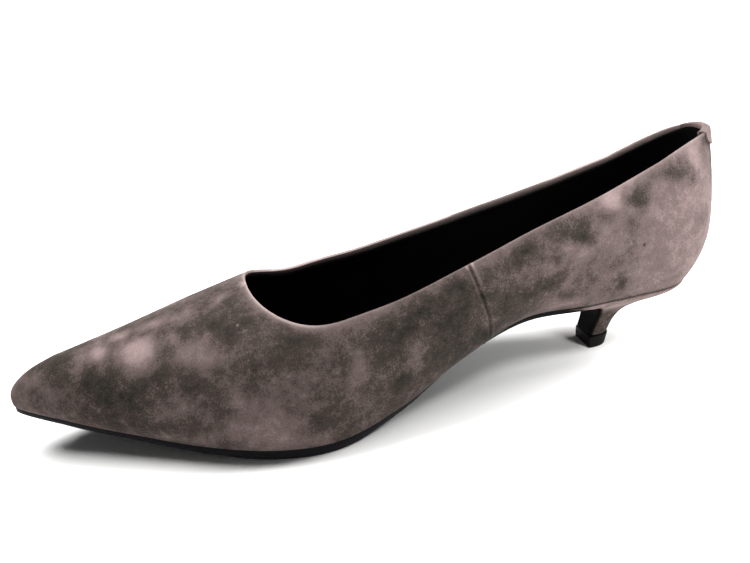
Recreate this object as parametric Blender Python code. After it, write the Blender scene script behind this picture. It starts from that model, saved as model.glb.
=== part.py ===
"""Suede pump with a pointed toe and a low heel, right foot.

Sizes are in millimetres along the last, x from the back of the heel to the
toe, y to the inner side of the foot and z up from the floor.
"""
import math

import bmesh
import bpy
import numpy as np

MM = 0.001
LENGTH = 255.0
WALL = 1.8
GAP = 0.3

# Rounded ends start here; between them the sections are square to the length
HEEL_X = 30.0
TOE_X = 240.0
HEEL_ROUND = (0.55, 0.55)
TOE_ROUND = (0.60, 0.36)

# Shape of a cross-section: feather edge to bulge, then bulge to ridge
BULGE_SHARE = 0.3
FEATHER_ANGLE = math.radians(35.0)
WIDTH_POWER = 2.15
HEIGHT_POWER = 2.0

# Back of the heel and tip of the toe, seen from the side
BACK_FEATHER_X = 9.0
BACK_BULGE_Z = 45.6
BACK_TOP_X = 2.6
BACK_TOP_Z = 79.9
# Top edge behind the sides: the lower, the sooner it rises to the back
INNER_BACK_RISE = 1.3
OUTER_BACK_RISE = 1.65
TIP_FEATHER_X = 254.6
TIP_BULGE_Z = 19.4

# Opening: widest half-width row, then a blunt oval to the throat
THROAT_X = 174.5
OVAL_X = 148.0
OVAL_POWER = 2.4

SECTION_COLUMNS = ("x", "med_feather", "lat_feather", "med_bulge", "lat_bulge", "rise", "ridge_z", "centre_y")
SECTIONS = (
    (30.0, 20.5, 22.0, 23.4, 24.1, 21.7, 84.8, -1.1),
    (55.0, 20.3, 23.5, 25.5, 25.9, 19.6, 79.6, -0.4),
    (80.0, 16.9, 24.5, 27.3, 28.3, 17.6, 74.7, 0.3),
    (105.0, 21.0, 28.0, 30.7, 32.0, 15.5, 68.6, 1.1),
    (130.0, 30.6, 32.0, 35.5, 35.3, 13.5, 60.7, 1.8),
    (155.0, 38.9, 35.0, 39.7, 37.3, 11.4, 52.7, 2.2),
    (175.0, 37.7, 34.0, 39.5, 35.7, 9.8, 46.9, 2.2),
    (195.0, 30.0, 29.0, 33.2, 30.7, 8.8, 41.7, 2.0),
    (215.0, 19.6, 20.5, 23.3, 22.9, 8.1, 36.3, 1.9),
    (240.0, 7.6, 8.5, 10.7, 10.3, 6.9, 30.7, 1.7),
)
TOPLINE_COLUMNS = ("x", "med_top", "lat_top")
TOPLINE = (
    (30.0, 17.1, 21.2),
    (55.0, 20.7, 23.9),
    (80.0, 23.4, 26.8),
    (105.0, 26.0, 29.4),
    (130.0, 28.8, 30.7),
    (148.0, 30.0, 30.6),
)
# Height of the feather edge, then thickness and edge bevel of the sole
SOLE_COLUMNS = ("x", "feather_z", "thick", "bevel")
SOLE = (
    (8.0, 26.7, 2.6, 2.5),
    (30.0, 26.2, 2.6, 2.5),
    (55.0, 25.3, 2.6, 1.2),
    (80.0, 23.6, 2.8, 1.2),
    (105.0, 15.2, 3.2, 3.4),
    (130.0, 7.2, 3.9, 2.6),
    (155.0, 3.9, 4.0, 0.7),
    (175.0, 4.3, 4.0, 0.6),
    (195.0, 5.2, 3.3, 0.6),
    (215.0, 7.3, 2.8, 0.6),
    (240.0, 11.9, 2.6, 0.6),
    (254.0, 16.0, 2.4, 0.6),
)
SOLE_INSET = 0.3
TIP_BEVEL = 0.6
SOLE_END_X = 50.4
INSOLE_THICK = 1.1

# Inner side seam: its place at the topline, forward lean and raised lips
SEAM_X = 104.5
SEAM_LEAN = 8.0
SEAM_SPREAD = 14.0
SEAM_COLUMNS = ("along", "height")
SEAM = ((-2.4, 0.0), (-1.1, 0.45), (0.0, 0.1), (1.1, 0.45), (2.4, 0.0))

# Heel, a row per level; spread 1 is the seat and 0 the bare stem
HEEL_COLUMNS = ("z", "spread", "back", "front", "half")
HEEL = (
    (24.75, 1.00, 31.0, 48.0, 8.4),
    (23.40, 0.97, 31.0, 48.0, 8.2),
    (21.60, 0.78, 31.2, 47.0, 8.0),
    (19.60, 0.50, 31.6, 45.6, 7.8),
    (17.60, 0.27, 32.0, 44.8, 7.5),
    (15.80, 0.12, 33.0, 44.5, 7.1),
    (14.00, 0.04, 34.3, 44.7, 6.7),
    (12.00, 0.01, 35.8, 45.2, 6.4),
    (10.00, 0.00, 37.1, 45.8, 6.0),
    (7.50, 0.00, 38.4, 46.6, 5.6),
    (4.90, 0.00, 39.6, 47.4, 5.4),
)
HEEL_SEAT_FRONT = 50.0
HEEL_SEAT_Z = 25.2
HEEL_SEAT_INSET = 0.3
HEEL_POWER = 2.6
BREAST_THICK = 0.9
BREAST_LEVELS = (4.9, 7.5, 10.0, 12.0, 14.0, 15.8, 17.6)
LIFT_COLUMNS = ("z", "back", "front", "half")
LIFT = ((0.0, 40.3, 48.7, 5.9), (4.6, 39.1, 48.6, 6.0))

# Tab folded over the top of the back
TAB_INNER_END = 0.56
TAB_OUTER_END = 0.72
TAB_DROP = 0.135
TAB_EDGE_DROP = 0.03
TAB_INNER_DROP = 0.03
TAB_THICK = 0.7

TOE_FAN = tuple(k / 8 for k in range(8, 0, -1))
HEEL_FAN = tuple(k / 8 for k in range(1, 9))
VAMP_X = (240.0, 233.0, 226.0, 219.0, 211.0, 203.0, 195.0, 187.0, 180.0, 176.5, THROAT_X)
OVAL_SHARES = (0.02, 0.08, 0.19, 0.38, 0.65, 1.0)
QUARTER_X = (140.0, 132.0, 124.0, 116.0, 110.5)
BACK_X = (97.0, 90.0, 82.0, 73.0, 64.0, 55.0, 46.0, 38.0, 30.0)
LOWER_ROWS = 3
UPPER_ROWS = 9


def smooth(table, columns, name, x):
    """Smooth curve of one named column of a table over its x column."""
    xs = np.array([row[0] for row in table])
    ys = np.array([row[columns.index(name)] for row in table])
    x = np.asarray(x, float)
    slope = np.gradient(ys, xs)
    i = np.clip(np.searchsorted(xs, x) - 1, 0, len(xs) - 2)
    span = xs[i + 1] - xs[i]
    u = (x - xs[i]) / span
    start = ys[i] * (1 + 2 * u) * (1 - u) ** 2 + slope[i] * span * u * (1 - u) ** 2
    end = ys[i + 1] * u * u * (3 - 2 * u) + slope[i + 1] * span * u * u * (u - 1)
    below = ys[0] + slope[0] * (x - xs[0])
    above = ys[-1] + slope[-1] * (x - xs[-1])
    return np.where(x < xs[0], below, np.where(x > xs[-1], above, start + end))


def size(name, x):
    """One section size at x."""
    return smooth(SECTIONS, SECTION_COLUMNS, name, x)


def sole_size(name, x):
    """One sole size at x."""
    return smooth(SOLE, SOLE_COLUMNS, name, x)


def side_name(side):
    """Column prefix of a side, +1 inner and -1 outer."""
    return "med_" if side > 0 else "lat_"


def round_end(q, slope, ends):
    """Quarter outline of a rounded end: share along it and share across."""
    reach, tip = ends
    a, b, c, d = (1 - q) ** 3, 3 * q * (1 - q) ** 2, 3 * q * q * (1 - q), q ** 3
    return b * reach + c + d, a + b * (1 - reach * slope) + c * tip


def lower_arc(t):
    """Outward and upward shares from the feather edge to the bulge."""
    angle = FEATHER_ANGLE + (math.pi / 2 - FEATHER_ANGLE) * np.clip(t / BULGE_SHARE, 0, 1)
    out = (np.sin(angle) - math.sin(FEATHER_ANGLE)) / (1 - math.sin(FEATHER_ANGLE))
    return out, 1 - np.cos(angle) / math.cos(FEATHER_ANGLE)


def upper_share(t):
    """Share of the way from the bulge to the top edge."""
    return np.clip((t - BULGE_SHARE) / (1 - BULGE_SHARE), 0, 1)


def top_half(x, side):
    """Half-width of the opening at x."""
    half = smooth(TOPLINE, TOPLINE_COLUMNS, side_name(side) + "top", np.minimum(x, OVAL_X))
    u = np.clip((x - OVAL_X) / (THROAT_X - OVAL_X), 0, 1)
    return half * np.maximum(1 - u ** OVAL_POWER, 0) ** (1 / OVAL_POWER)


def section(x, side, t, inset):
    """Half-width and height of the wall at x, t from 0 at the feather to 1 at the top."""
    feather = size(side_name(side) + "feather", x) - inset
    bulge = size(side_name(side) + "bulge", x) - inset
    feather_z = sole_size("feather_z", x)
    bulge_z = feather_z + size("rise", x)
    ridge_z = size("ridge_z", x) - inset
    edge = np.maximum(top_half(x, side) - inset, 0)
    cut = np.arccos(np.clip(edge / bulge, 0, 1) ** (WIDTH_POWER / 2))
    angle = upper_share(t) * np.where(x < THROAT_X, cut, math.pi / 2)
    out, up = lower_arc(t)
    low = t <= BULGE_SHARE
    half = np.where(low, feather + (bulge - feather) * out, bulge * np.abs(np.cos(angle)) ** (2 / WIDTH_POWER))
    high = bulge_z + (ridge_z - bulge_z) * np.abs(np.sin(angle)) ** (2 / HEIGHT_POWER)
    return half, np.where(low, feather_z + (bulge_z - feather_z) * up, high)


def side_wall(x, side, t, inset):
    """Points of the wall at x."""
    x = x + 0 * t
    half, z = section(x, side, t, inset)
    return np.stack([x, size("centre_y", x) + side * half, z], -1)


def heel_wall(q, side, t, inset):
    """Points of the wall round the heel, q from 0 at the side to 1 at the back."""
    step = 0.5
    x = HEEL_X + 0 * t
    half, z = section(x, side, t, inset)
    ahead, z_ahead = section(x + step, side, t, inset)
    out, up = lower_arc(t)
    share = upper_share(t)
    low = t <= BULGE_SHARE
    reach = np.where(low, HEEL_X - BACK_FEATHER_X * (1 - out), HEEL_X - BACK_TOP_X * share ** 2) - inset
    feather_z = sole_size("feather_z", BACK_FEATHER_X)
    back_low = feather_z + (BACK_BULGE_Z - feather_z) * up
    back_z = np.where(low, back_low, BACK_BULGE_Z + (BACK_TOP_Z - BACK_BULGE_Z) * share)
    along, across = round_end(q, (ahead - half) / step * reach / half, HEEL_ROUND)
    rise = 2 + ((INNER_BACK_RISE if side > 0 else OUTER_BACK_RISE) - 2) * share
    z = z - (z_ahead - z) / step * reach * along * (1 - along) + (back_z - z) * along ** rise
    return np.stack([HEEL_X - reach * along, size("centre_y", HEEL_X) + side * half * across, z], -1)


def toe_wall(q, side, t, inset):
    """Points of the wall round the toe, q from 0 at the side to 1 at the tip."""
    step = 0.5
    name = side_name(side)
    feather = size(name + "feather", TOE_X) - inset
    bulge = size(name + "bulge", TOE_X) - inset
    behind = size(name + "bulge", TOE_X - step) - inset
    bulge_z = sole_size("feather_z", TOE_X) + size("rise", TOE_X)
    tip_feather = TIP_FEATHER_X - TOE_X - inset
    tip_bulge = LENGTH - TOE_X - inset
    out, up = lower_arc(t)
    angle = upper_share(t) * math.pi / 2
    fall = np.abs(np.cos(angle)) ** (2 / WIDTH_POWER)
    low = t <= BULGE_SHARE
    half = np.where(low, feather + (bulge - feather) * out, bulge * fall)
    reach = np.where(low, tip_feather + (tip_bulge - tip_feather) * out, tip_bulge * fall)
    along, across = round_end(q, (behind - bulge) / step * tip_bulge / bulge, TOE_ROUND)
    x = TOE_X + reach * along
    low_z = sole_size("feather_z", TOE_X + tip_feather * along)
    mid_z = bulge_z * (1 - along ** 2) + TIP_BULGE_Z * along ** 2
    top_z = size("ridge_z", x) - inset
    high = mid_z + (top_z - mid_z) * np.abs(np.sin(angle)) ** (2 / HEIGHT_POWER)
    z = np.where(low, low_z + (mid_z - low_z) * up, high)
    return np.stack([x, size("centre_y", TOE_X) + side * half * across, z], -1)


def wall_rows(t, side, inset, stations):
    """Rows of wall points for a list of (part of the shoe, place) stations."""
    makers = {"toe": toe_wall, "side": side_wall, "heel": heel_wall}
    return [makers[part](place, side, t, inset) for part, place in stations]


def upper_stations():
    """Stations from the tip of the toe back to the middle of the heel."""
    oval = [THROAT_X - (THROAT_X - OVAL_X) * share for share in OVAL_SHARES]
    seam = [SEAM_X - along for along, _ in SEAM]
    sides = list(VAMP_X) + oval + list(QUARTER_X) + seam + list(BACK_X)
    rows = [("toe", q) for q in TOE_FAN] + [("side", x) for x in sides]
    return rows + [("heel", q) for q in HEEL_FAN]


class Shell:
    """Corners and faces of one closed solid, with shared corners merged."""

    def __init__(self):
        self.points = []
        self.index = {}
        self.faces = []

    def corner(self, point):
        """Number of a corner, new or already there."""
        key = tuple(round(float(v), 3) for v in point)
        if key not in self.index:
            self.index[key] = len(self.points)
            self.points.append([float(v) for v in point])
        return self.index[key]

    def face(self, *points):
        """Add a face, leaving out repeated corners."""
        ids = list(dict.fromkeys(self.corner(p) for p in points))
        if len(ids) > 2:
            self.faces.append(ids)

    def skin(self, rows, closed=False):
        """Add faces between rows of points that follow one another."""
        for a, b in zip(rows, rows[1:]):
            count = len(a)
            for j in range(count if closed else count - 1):
                k = (j + 1) % count
                self.face(a[j], a[k], b[k], b[j])

    def build(self, name, material, place):
        """Make the named object."""
        mesh = bpy.data.meshes.new(name)
        mesh.from_pydata([[(v - o) * MM for v, o in zip(p, place)] for p in self.points], [], self.faces)
        work = bmesh.new()
        work.from_mesh(mesh)
        bmesh.ops.triangulate(work, faces=[f for f in work.faces if len(f.verts) > 4])
        bmesh.ops.recalc_face_normals(work, faces=work.faces)
        work.to_mesh(mesh)
        work.free()
        mesh.materials.append(material)
        item = bpy.data.objects.new(name, mesh)
        bpy.context.scene.collection.objects.link(item)
        return item


def lean_rows(t, side, inset, stations):
    """Wall rows with the inner side's stations leaning to follow the seam."""
    rows = []
    for part, place in stations:
        if part != "side" or side < 0 or place > THROAT_X - 1:
            rows.extend(wall_rows(t, side, inset, [(part, place)]))
            continue
        bell = math.exp(-((place - SEAM_X) / SEAM_SPREAD) ** 2)
        points = side_wall(place - SEAM_LEAN * bell * (1 - t), side, t, inset)
        along = [row[0] for row in SEAM]
        height = [row[1] for row in SEAM]
        if inset == 0 and abs(place - SEAM_X) < along[-1]:
            points[1:-1, 1] += np.interp(SEAM_X - place, along, height)
        rows.append(points)
    return rows


def make_upper():
    """Hollow upper, open at the collar and underneath."""
    shell = Shell()
    low = np.linspace(0, BULGE_SHARE, LOWER_ROWS + 1)
    high = np.linspace(BULGE_SHARE, 1, UPPER_ROWS + 1)[1:]
    t = np.concatenate([low, high])
    stations = upper_stations()
    throat = stations.index(("side", THROAT_X))
    for side in (1, -1):
        outer = lean_rows(t, side, 0.0, stations)
        inner = lean_rows(t, side, WALL, stations)
        shell.skin(outer)
        shell.skin(inner)
        shell.skin([[a[0], b[0]] for a, b in zip(outer, inner)])
        shell.skin([[a[-1], b[-1]] for a, b in zip(outer[throat:], inner[throat:])])
    return shell


def feather_pairs(inset, last_x=None):
    """Inner and outer feather points, from the toe back to last_x or round the heel."""
    stations = [s for s in upper_stations() if s[0] != "heel"]
    if last_x is None:
        stations += [("heel", q) for q in HEEL_FAN]
    else:
        stations = [s for s in stations if s[0] == "toe" or s[1] > last_x + 2] + [("side", last_x)]
    foot = np.zeros(1)
    inner = [rows[0] for rows in wall_rows(foot, 1, inset, stations)]
    outer = [rows[0] for rows in wall_rows(foot, -1, inset, stations)]
    return list(zip(inner, outer))


def at_height(point, z):
    """A plan point at another height."""
    return (point[0], point[1], z)


def make_outsole():
    """Thin sole with a flat spot under the ball, up to the heel breast."""
    shell = Shell()
    rings = []
    for a, b in feather_pairs(SOLE_INSET, SOLE_END_X):
        top = float(sole_size("feather_z", a[0])) - GAP
        floor = max(top - float(sole_size("thick", a[0])), 0.0)
        bevel = float(sole_size("bevel", a[0]))
        width = max(a[1] - b[1], 1e-6)
        cut = min(bevel, 0.3 * width) / width
        under_a = a[1] + (b[1] - a[1]) * cut
        under_b = b[1] + (a[1] - b[1]) * cut
        rings.append([at_height(a, top), (a[0], under_a, floor), (b[0], under_b, floor), at_height(b, top)])
    tip_top, tip_under = rings[0][:2]
    tip_under = (tip_under[0] - TIP_BEVEL, tip_under[1], tip_under[2])
    rings[0] = [tip_top, tip_under, tip_under, tip_top]
    shell.skin(rings, closed=True)
    shell.face(*rings[-1])
    return shell


def make_insole():
    """Thin board inside the upper, just above the sole."""
    shell = Shell()
    rings = []
    for a, b in feather_pairs(WALL + GAP):
        low = float(sole_size("feather_z", a[0]))
        high = low + INSOLE_THICK
        rings.append([at_height(a, high), at_height(a, low), at_height(b, low), at_height(b, high)])
    shell.skin(rings, closed=True)
    return shell


def heel_outline(z):
    """Outline of the heel at a level, from the inner front corner round the back."""
    levels = tuple(sorted(HEEL))
    spread, back, front, half = (float(smooth(levels, HEEL_COLUMNS, n, z)) for n in HEEL_COLUMNS[1:])
    spread = min(max(spread, 0.0), 1.0)
    xs = [HEEL_SEAT_FRONT, 44.0, 38.0, HEEL_X]
    stations = [("side", x) for x in xs] + [("heel", q) for q in HEEL_FAN]
    foot = np.zeros(1)
    seat = [r[0] for r in wall_rows(foot, 1, HEEL_SEAT_INSET, stations)]
    seat += [r[0] for r in reversed(wall_rows(foot, -1, HEEL_SEAT_INSET, stations[:-1]))]
    points = []
    for k, place in enumerate(seat):
        angle = math.pi * k / (len(seat) - 1)
        x = front - (front - back) * abs(math.sin(angle)) ** (2 / HEEL_POWER)
        y = half * math.copysign(abs(math.cos(angle)) ** (2 / HEEL_POWER), math.cos(angle))
        rise = (float(sole_size("feather_z", place[0])) - HEEL_SEAT_Z) * spread
        points.append((x + (place[0] - x) * spread, y + (place[1] - y) * spread, z + rise))
    return points


def make_heel():
    """Heel with a thin cup under the seat and a stem."""
    shell = Shell()
    rings = [heel_outline(row[0]) for row in HEEL]
    shell.skin(rings, closed=True)
    shell.face(*rings[0])
    shell.face(*rings[-1])
    return shell


def make_heel_breast():
    """Thin front face of the heel."""
    shell = Shell()
    rings = []
    for z in BREAST_LEVELS:
        ring = heel_outline(z)
        x, y_in, y_out = ring[0][0] + GAP, ring[0][1] - GAP, ring[-1][1] + GAP
        rings.append([(x, y_in, z), (x + BREAST_THICK, y_in, z), (x + BREAST_THICK, y_out, z), (x, y_out, z)])
    shell.skin(rings, closed=True)
    shell.face(*rings[0])
    shell.face(*rings[-1])
    return shell


def make_toplift():
    """Tip of the heel, flat on the floor."""
    shell = Shell()
    rings = []
    for z, back, front, half in LIFT:
        ring = []
        for k in range(17):
            angle = math.pi * k / 16
            x = front - (front - back) * abs(math.sin(angle)) ** (2 / HEEL_POWER)
            y = half * math.copysign(abs(math.cos(angle)) ** (2 / HEEL_POWER), math.cos(angle))
            ring.append((x, y, z))
        rings.append(ring)
    shell.skin(rings, closed=True)
    shell.face(*rings[0])
    shell.face(*rings[-1])
    return shell


def tab_path(q, side, drop, clear):
    """Line that follows the back from outside, over the top edge and inside."""
    outside = heel_wall(q, side, np.linspace(1 - drop, 1, 6), 0.0)
    inside = heel_wall(q, side, np.linspace(1, 1 - TAB_INNER_DROP, 4), WALL)
    away = outside[-1] - inside[0]
    away[2] = 0.0
    away = away / np.linalg.norm(away)
    lift = np.array([0.0, 0.0, clear])
    over = [outside[-1] + away * clear + lift, inside[0] - away * clear + lift]
    return list(outside + away * clear) + over + list(inside - away * clear)


def make_back_tab():
    """Small tab folded over the top of the back, longest in the middle."""
    shell = Shell()
    rings = []
    count = 6
    for k in range(-count, count + 1):
        share = abs(k) / count
        drop = TAB_EDGE_DROP + (TAB_DROP - TAB_EDGE_DROP) * math.sqrt(max(1 - share ** 2, 0))
        side = -1 if k < 0 else 1
        q = 1 - (1 - (TAB_OUTER_END if k < 0 else TAB_INNER_END)) * share
        near = tab_path(q, side, drop, GAP)
        far = tab_path(q, side, drop, GAP + TAB_THICK)
        rings.append(near + far[::-1])
    shell.skin(rings, closed=True)
    half = len(rings[0]) // 2
    for ring in (rings[0], rings[-1]):
        for j in range(half - 1):
            shell.face(ring[j], ring[j + 1], ring[-2 - j], ring[-1 - j])
    return shell


def finish(name, colour, roughness):
    """Material of one piece."""
    material = bpy.data.materials.new(name)
    material.use_nodes = True
    shader = next(n for n in material.node_tree.nodes if n.type == "BSDF_PRINCIPLED")
    shader.inputs["Base Color"].default_value = (*colour, 1.0)
    shader.inputs["Roughness"].default_value = roughness
    shader.inputs["Metallic"].default_value = 0.0
    return material


def main():
    """Build every piece with the box's bottom centre at the origin."""
    for item in list(bpy.data.objects):
        bpy.data.objects.remove(item)
    suede = (0.150, 0.115, 0.105)
    black = (0.012, 0.011, 0.011)
    makers = (
        ("upper", make_upper, suede, 0.95),
        ("outsole", make_outsole, black, 0.45),
        ("insole", make_insole, black, 0.55),
        ("heel", make_heel, suede, 0.95),
        ("heel_breast", make_heel_breast, black, 0.5),
        ("toplift", make_toplift, black, 0.6),
        ("back_tab", make_back_tab, suede, 0.95),
    )
    shells = [maker() for _, maker, _, _ in makers]
    points = np.array([p for shell in shells for p in shell.points])
    middle = (points.max(axis=0) + points.min(axis=0)) / 2
    place = (middle[0], middle[1], 0.0)
    for shell, (name, _, colour, roughness) in zip(shells, makers):
        shell.build(name, finish(name + "_finish", colour, roughness), place)


main()
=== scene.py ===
"""Looks of a suede pump with a pointed toe and a low heel, for the right foot.

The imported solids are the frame. Each class models one sub-assembly of the shoe
over them and dresses it. Sizes are in millimetres on the last: x runs from the
back of the heel to the toe, y to the inner side of the foot and z up from the
floor.
"""

import logging
import math
from dataclasses import dataclass
from enum import Enum
from typing import Any

import bpy
import numpy as np
from mathutils import Matrix, Vector, kdtree, noise


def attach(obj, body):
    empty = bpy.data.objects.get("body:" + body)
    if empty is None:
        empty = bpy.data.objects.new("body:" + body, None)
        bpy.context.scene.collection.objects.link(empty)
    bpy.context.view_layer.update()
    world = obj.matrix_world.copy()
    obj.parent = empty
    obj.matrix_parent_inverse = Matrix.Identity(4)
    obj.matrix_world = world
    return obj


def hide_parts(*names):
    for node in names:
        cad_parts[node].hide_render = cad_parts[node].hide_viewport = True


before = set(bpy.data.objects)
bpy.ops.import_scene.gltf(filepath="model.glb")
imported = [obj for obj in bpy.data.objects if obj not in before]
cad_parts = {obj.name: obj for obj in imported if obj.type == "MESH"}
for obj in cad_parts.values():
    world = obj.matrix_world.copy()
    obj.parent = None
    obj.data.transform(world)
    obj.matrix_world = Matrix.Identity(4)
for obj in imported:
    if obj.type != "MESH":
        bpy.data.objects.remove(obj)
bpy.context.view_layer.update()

Row = tuple[float, ...]
Span = tuple[float, float]
Point = tuple[float, float, float]
Pair = tuple[np.ndarray, np.ndarray]
Piece = bpy.types.Object

MM = 0.001
# Middle of the shoe's box on the last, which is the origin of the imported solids
MIDDLE = np.array((127.5, 3.7, 0.0))
# Points closer than this become one point: between joined parts, and within a part
WELD = 0.02 * MM
SLIVER = 0.01 * MM
# Inputs and output of a Mix node that mixes two colours
SHARE, FIRST, SECOND, MIXED = 0, 6, 7, 2
BODY = "root"
LOG = logging.getLogger("pump")


class Side(Enum):
    """Side of the foot, with the sign of y on it."""

    INNER = 1
    OUTER = -1


class Region(Enum):
    """Stretch of the last that a line of the wall stands on."""

    TOE = "toe"
    SIDE = "side"
    HEEL = "heel"


# Tools: sizes and colours


def linear(code: str) -> tuple[float, float, float, float]:
    """Linear colour of an sRGB hex code.

    Args:
        code: Six hex digits after a hash.

    Returns:
        Red, green, blue and full alpha.
    """
    parts = [int(code[k : k + 2], 16) / 255 for k in (1, 3, 5)]
    flat = [v / 12.92 if v <= 0.04045 else ((v + 0.055) / 1.055) ** 2.4 for v in parts]
    return (*flat, 1.0)


def per_metre(size_mm: float) -> float:
    """Texture scale that gives features of this size."""
    return 1.0 / (size_mm * MM)


def smooth_curve(xs: Row, ys: Row, x: np.ndarray | float) -> np.ndarray:
    """Smooth curve through a row of sizes, straight beyond its ends.

    Args:
        xs: Places along the last.
        ys: Sizes there.
        x: Places to read.

    Returns:
        Sizes at those places.
    """
    a, b = np.array(xs), np.array(ys)
    x = np.asarray(x, float)
    slope = np.gradient(b, a)
    i = np.clip(np.searchsorted(a, x) - 1, 0, len(a) - 2)
    span = a[i + 1] - a[i]
    u = (x - a[i]) / span
    start = b[i] * (1 + 2 * u) * (1 - u) ** 2 + slope[i] * span * u * (1 - u) ** 2
    end = b[i + 1] * u * u * (3 - 2 * u) + slope[i + 1] * span * u * u * (u - 1)
    below = b[0] + slope[0] * (x - a[0])
    above = b[-1] + slope[-1] * (x - a[-1])
    return np.where(x < a[0], below, np.where(x > a[-1], above, start + end))


def fade(value: np.ndarray | float, start: float, end: float) -> np.ndarray:
    """Soft step from 0 at the start to 1 at the end."""
    u = np.clip((value - start) / (end - start), 0.0, 1.0)
    return u * u * (3 - 2 * u)


def bell(gap: np.ndarray | float, width: np.ndarray | float) -> np.ndarray:
    """Soft peak that is 1 at a gap of 0 and falls away over a width."""
    return np.exp(-((gap / width) ** 2))


def between(start: Any, end: Any, share: Any) -> Any:
    """Value at a share of the way between two values."""
    return start + (end - start) * share


# Tools: modelling


def deselect() -> None:
    """Leave edit mode and clear the selection."""
    if bpy.context.object and bpy.context.object.mode != "OBJECT":
        bpy.ops.object.mode_set(mode="OBJECT")
    bpy.ops.object.select_all(action="DESELECT")


def pick(piece: Piece) -> None:
    """Make one piece the only selected and the active one.

    Args:
        piece: Piece to pick.
    """
    deselect()
    piece.select_set(True)
    bpy.context.view_layer.objects.active = piece


def edit_all(piece: Piece) -> None:
    """Open a piece in edit mode with all of it selected.

    Args:
        piece: Piece to open.
    """
    pick(piece)
    bpy.ops.object.mode_set(mode="EDIT")
    bpy.ops.mesh.select_all(action="SELECT")


def coords(piece: Piece) -> np.ndarray:
    """Points of a piece on the last.

    Args:
        piece: Piece to read.

    Returns:
        Places in millimetres.
    """
    flat = np.empty(len(piece.data.vertices) * 3)
    piece.data.vertices.foreach_get("co", flat)
    return flat.reshape(-1, 3) / MM + MIDDLE


def set_coords(piece: Piece, points: np.ndarray) -> None:
    """Put the points of a piece at places on the last."""
    piece.data.vertices.foreach_set("co", ((points - MIDDLE) * MM).ravel())
    piece.data.update()


def normals(piece: Piece) -> np.ndarray:
    """Outward directions at the points of a piece.

    Args:
        piece: Piece to read.

    Returns:
        One direction of length 1 per point.
    """
    flat = np.empty(len(piece.data.vertices) * 3, np.float32)
    piece.data.vertex_normals.foreach_get("vector", flat)
    return flat.reshape(-1, 3).astype(float)


def paint(piece: Piece, name: str, values: np.ndarray) -> None:
    """Keep a number per point under a name that the finishes read."""
    layer = piece.data.attributes.get(name) or piece.data.attributes.new(name, "FLOAT", "POINT")
    layer.data.foreach_set("value", np.asarray(values, np.float32))


def nearest(places: np.ndarray, path: np.ndarray) -> Pair:
    """Distance to a path and share along it.

    Args:
        places: Places to measure from.
        path: Close places along the path.

    Returns:
        Distances, and shares from 0 to 1 along the path.
    """
    tree = kdtree.KDTree(len(path))
    for k, place in enumerate(path):
        tree.insert(place, k)
    tree.balance()
    found = [tree.find(place) for place in places]
    gap = np.array([item[2] for item in found])
    share = np.array([item[1] for item in found]) / max(len(path) - 1, 1)
    return gap, share


def sheet(name: str, rows: np.ndarray) -> Piece:
    """Lay a grid over rows of places.

    Args:
        name: Name of the piece.
        rows: Places on the last, line by line.

    Returns:
        The new piece.
    """
    deselect()
    lines, steps = rows.shape[:2]
    bpy.ops.mesh.primitive_grid_add(x_subdivisions=lines - 1, y_subdivisions=steps - 1, size=1.0)
    piece = bpy.context.object
    piece.name = piece.data.name = name
    set_coords(piece, rows.transpose(1, 0, 2).reshape(-1, 3))
    return piece


def join(name: str, parts: list[Piece]) -> Piece:
    """Join parts into one piece and weld the points that meet.

    Args:
        name: Name of the joined piece.
        parts: Pieces to join.

    Returns:
        The joined piece.
    """
    deselect()
    for part in parts:
        part.select_set(True)
    bpy.context.view_layer.objects.active = parts[0]
    if len(parts) > 1:
        bpy.ops.object.join()
    piece = bpy.context.object
    piece.name = piece.data.name = name
    edit_all(piece)
    bpy.ops.mesh.remove_doubles(threshold=WELD)
    bpy.ops.mesh.dissolve_degenerate(threshold=SLIVER)
    bpy.ops.mesh.select_all(action="SELECT")
    bpy.ops.mesh.normals_make_consistent(inside=False)
    bpy.ops.object.mode_set(mode="OBJECT")
    return piece


def face_out(piece: Piece) -> None:
    """Turn an open wall round if its widest face looks inwards.

    Args:
        piece: Wall to turn.
    """
    widest = max(piece.data.polygons, key=lambda face: face.center.y)
    if widest.normal.y < 0:
        edit_all(piece)
        bpy.ops.mesh.flip_normals()
        bpy.ops.object.mode_set(mode="OBJECT")


def tube(name: str, rings: np.ndarray) -> Piece:
    """Wrap a grid round closed rings of places and close both ends.

    Args:
        name: Name of the piece.
        rings: Places on the last, ring by ring.

    Returns:
        The new closed piece.
    """
    piece = sheet(name, np.concatenate([rings, rings[:, :1]], axis=1))
    edit_all(piece)
    bpy.ops.mesh.remove_doubles(threshold=SLIVER)
    bpy.ops.mesh.fill_holes(sides=0)
    bpy.ops.mesh.select_all(action="SELECT")
    bpy.ops.mesh.normals_make_consistent(inside=False)
    bpy.ops.object.mode_set(mode="OBJECT")
    return piece


def apply(piece: Piece, kind: str, **settings: Any) -> None:
    """Add a modifier with its settings and apply it.

    Args:
        piece: Piece to change.
        kind: Blender's name of the modifier.
        settings: Values of its fields.
    """
    pick(piece)
    modifier = piece.modifiers.new(kind.lower(), kind)
    for key, value in settings.items():
        setattr(modifier, key, value)
    bpy.ops.object.modifier_apply(modifier=modifier.name)


def round_edges(piece: Piece, width: float, segments: int, angle: float) -> None:
    """Round the sharp edges of a piece.

    Args:
        piece: Piece to round.
        width: Width of the rounding.
        segments: Faces across it.
        angle: Edges sharper than this many degrees are rounded.
    """
    apply(
        piece,
        "BEVEL",
        width=width * MM,
        segments=segments,
        limit_method="ANGLE",
        angle_limit=math.radians(angle),
        harden_normals=False,
    )


def shade(piece: Piece, angle: float = 60.0) -> None:
    """Shade a piece smooth, apart from edges sharper than an angle in degrees."""
    pick(piece)
    bpy.ops.object.shade_smooth_by_angle(angle=math.radians(angle))


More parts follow.
